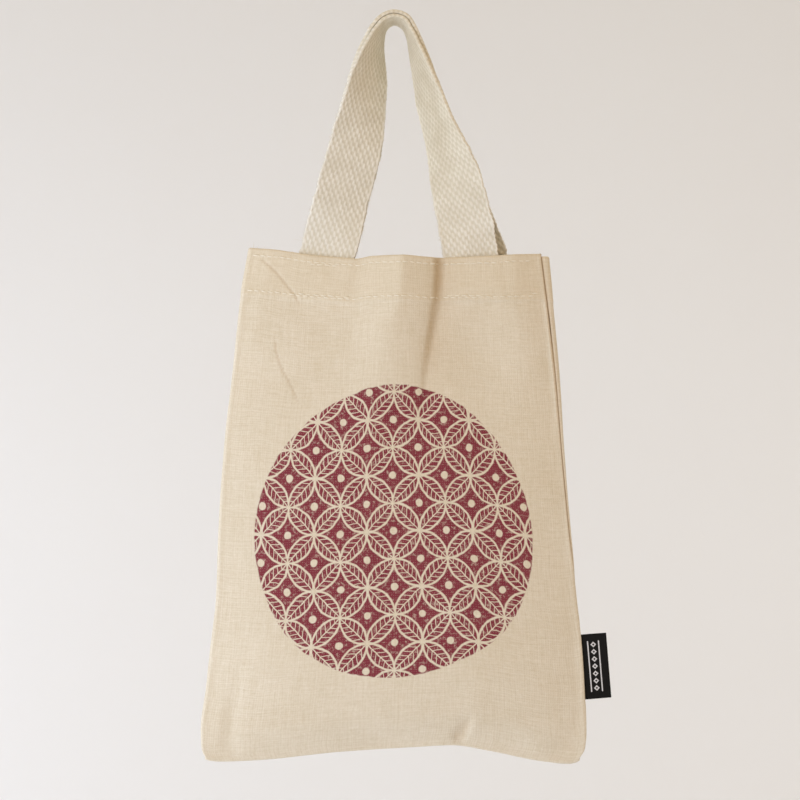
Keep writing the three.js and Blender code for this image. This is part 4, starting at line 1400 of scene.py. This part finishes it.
def backdrop_material():
    """Matt backdrop paper, rolled: pale and even, with hardly any cloudiness."""
    cloud = 0.3333               # metres
    made, tree, shader = new_material("matt_backdrop_paper")
    place = add(tree, "TexCoord", (), "Object")
    grain = add(tree, "TexNoise", {"Vector": place, "Scale": 1 / cloud, "Detail": 2.0})
    colour = add(tree, "Mix", {0: grain, 6: "#efedea", 7: "#f1f0ed"}, 2, data_type="RGBA")
    fill(tree, shader, {"Base Color": colour, "Roughness": 0.95})
    return made


def studio_light():
    """A soft near window to the left, weak lights from all other sides, and a pale warm room."""
    world = bpy.data.worlds.new("pale_room")
    world.use_nodes = True
    sky = next(n for n in world.node_tree.nodes if n.type == "BACKGROUND")
    fill(world.node_tree, sky, {"Color": ROOM_COLOUR, "Strength": ROOM_STRENGTH})
    bpy.context.scene.world = world
    for row in LAMPS:
        lamp = bpy.data.lights.new(row["name"], "AREA")
        lamp.shape = "RECTANGLE"
        lamp.size, lamp.size_y = row["size"]
        lamp.energy = row["power"]
        lamp.color = linear(row["colour"])[:3]
        made = bpy.data.objects.new(row["name"], lamp)
        bpy.context.scene.collection.objects.link(made)
        made.location = row["place"]
        toward = Vector(row["target"]) - Vector(row["place"])
        made.rotation_euler = toward.to_track_quat("-Z", "Y").to_euler()
        made.visible_camera = False
    bpy.context.scene.view_settings.view_transform = "Standard"


def camera():
    """The camera, level and facing the bag's front."""
    data = bpy.data.cameras.new("camera")
    data.lens = CAMERA_LENS
    data.sensor_width = SENSOR_WIDTH
    made = bpy.data.objects.new("camera", data)
    bpy.context.scene.collection.objects.link(made)
    made.location = CAMERA_PLACE
    made.rotation_euler = (math.pi / 2, 0.0, 0.0)
    bpy.context.scene.camera = made


camera()
calico = calico_material("cotton_calico_woven", False)
printed_calico = calico_material("cotton_calico_block_printed", True)
cotton_webbing = webbing_material()
cotton_thread = thread_material()
label_tape = tape_material()

front_panel = panel("front_panel_cloth", True)
back_panel = panel("back_panel_cloth", False)
front_handle = webbing("front_handle_webbing", 0)
back_handle = webbing("back_handle_webbing", 1)
label = side_label()
front_stitches = hem_stitches("front_hem_stitches", True)
back_stitches = hem_stitches("back_hem_stitches", False)
front_foot_stitches = foot_stitches("front_handle_stitches", 0)
back_foot_stitches = foot_stitches("back_handle_stitches", 1)
front_fuzz = selvedge_fuzz("front_handle_fuzz", 0)
back_fuzz = selvedge_fuzz("back_handle_fuzz", 1)
frayed = loose_threads()

dress(front_panel, printed_calico, "calico", "front_panel")
dress(back_panel, calico, "calico", "back_panel")
dress(front_handle, cotton_webbing, "webbing", "front_handle")
dress(back_handle, cotton_webbing, "webbing", "back_handle")
dress(label, label_tape, "label", "side_label")
dress(front_stitches, cotton_thread, "calico")
dress(back_stitches, cotton_thread, "calico")
dress(front_foot_stitches, cotton_thread, "webbing")
dress(back_foot_stitches, cotton_thread, "webbing")
dress(front_fuzz, cotton_thread, "webbing")
dress(back_fuzz, cotton_thread, "webbing")
dress(frayed, cotton_thread, "calico")

studio_sweep()
studio_light()
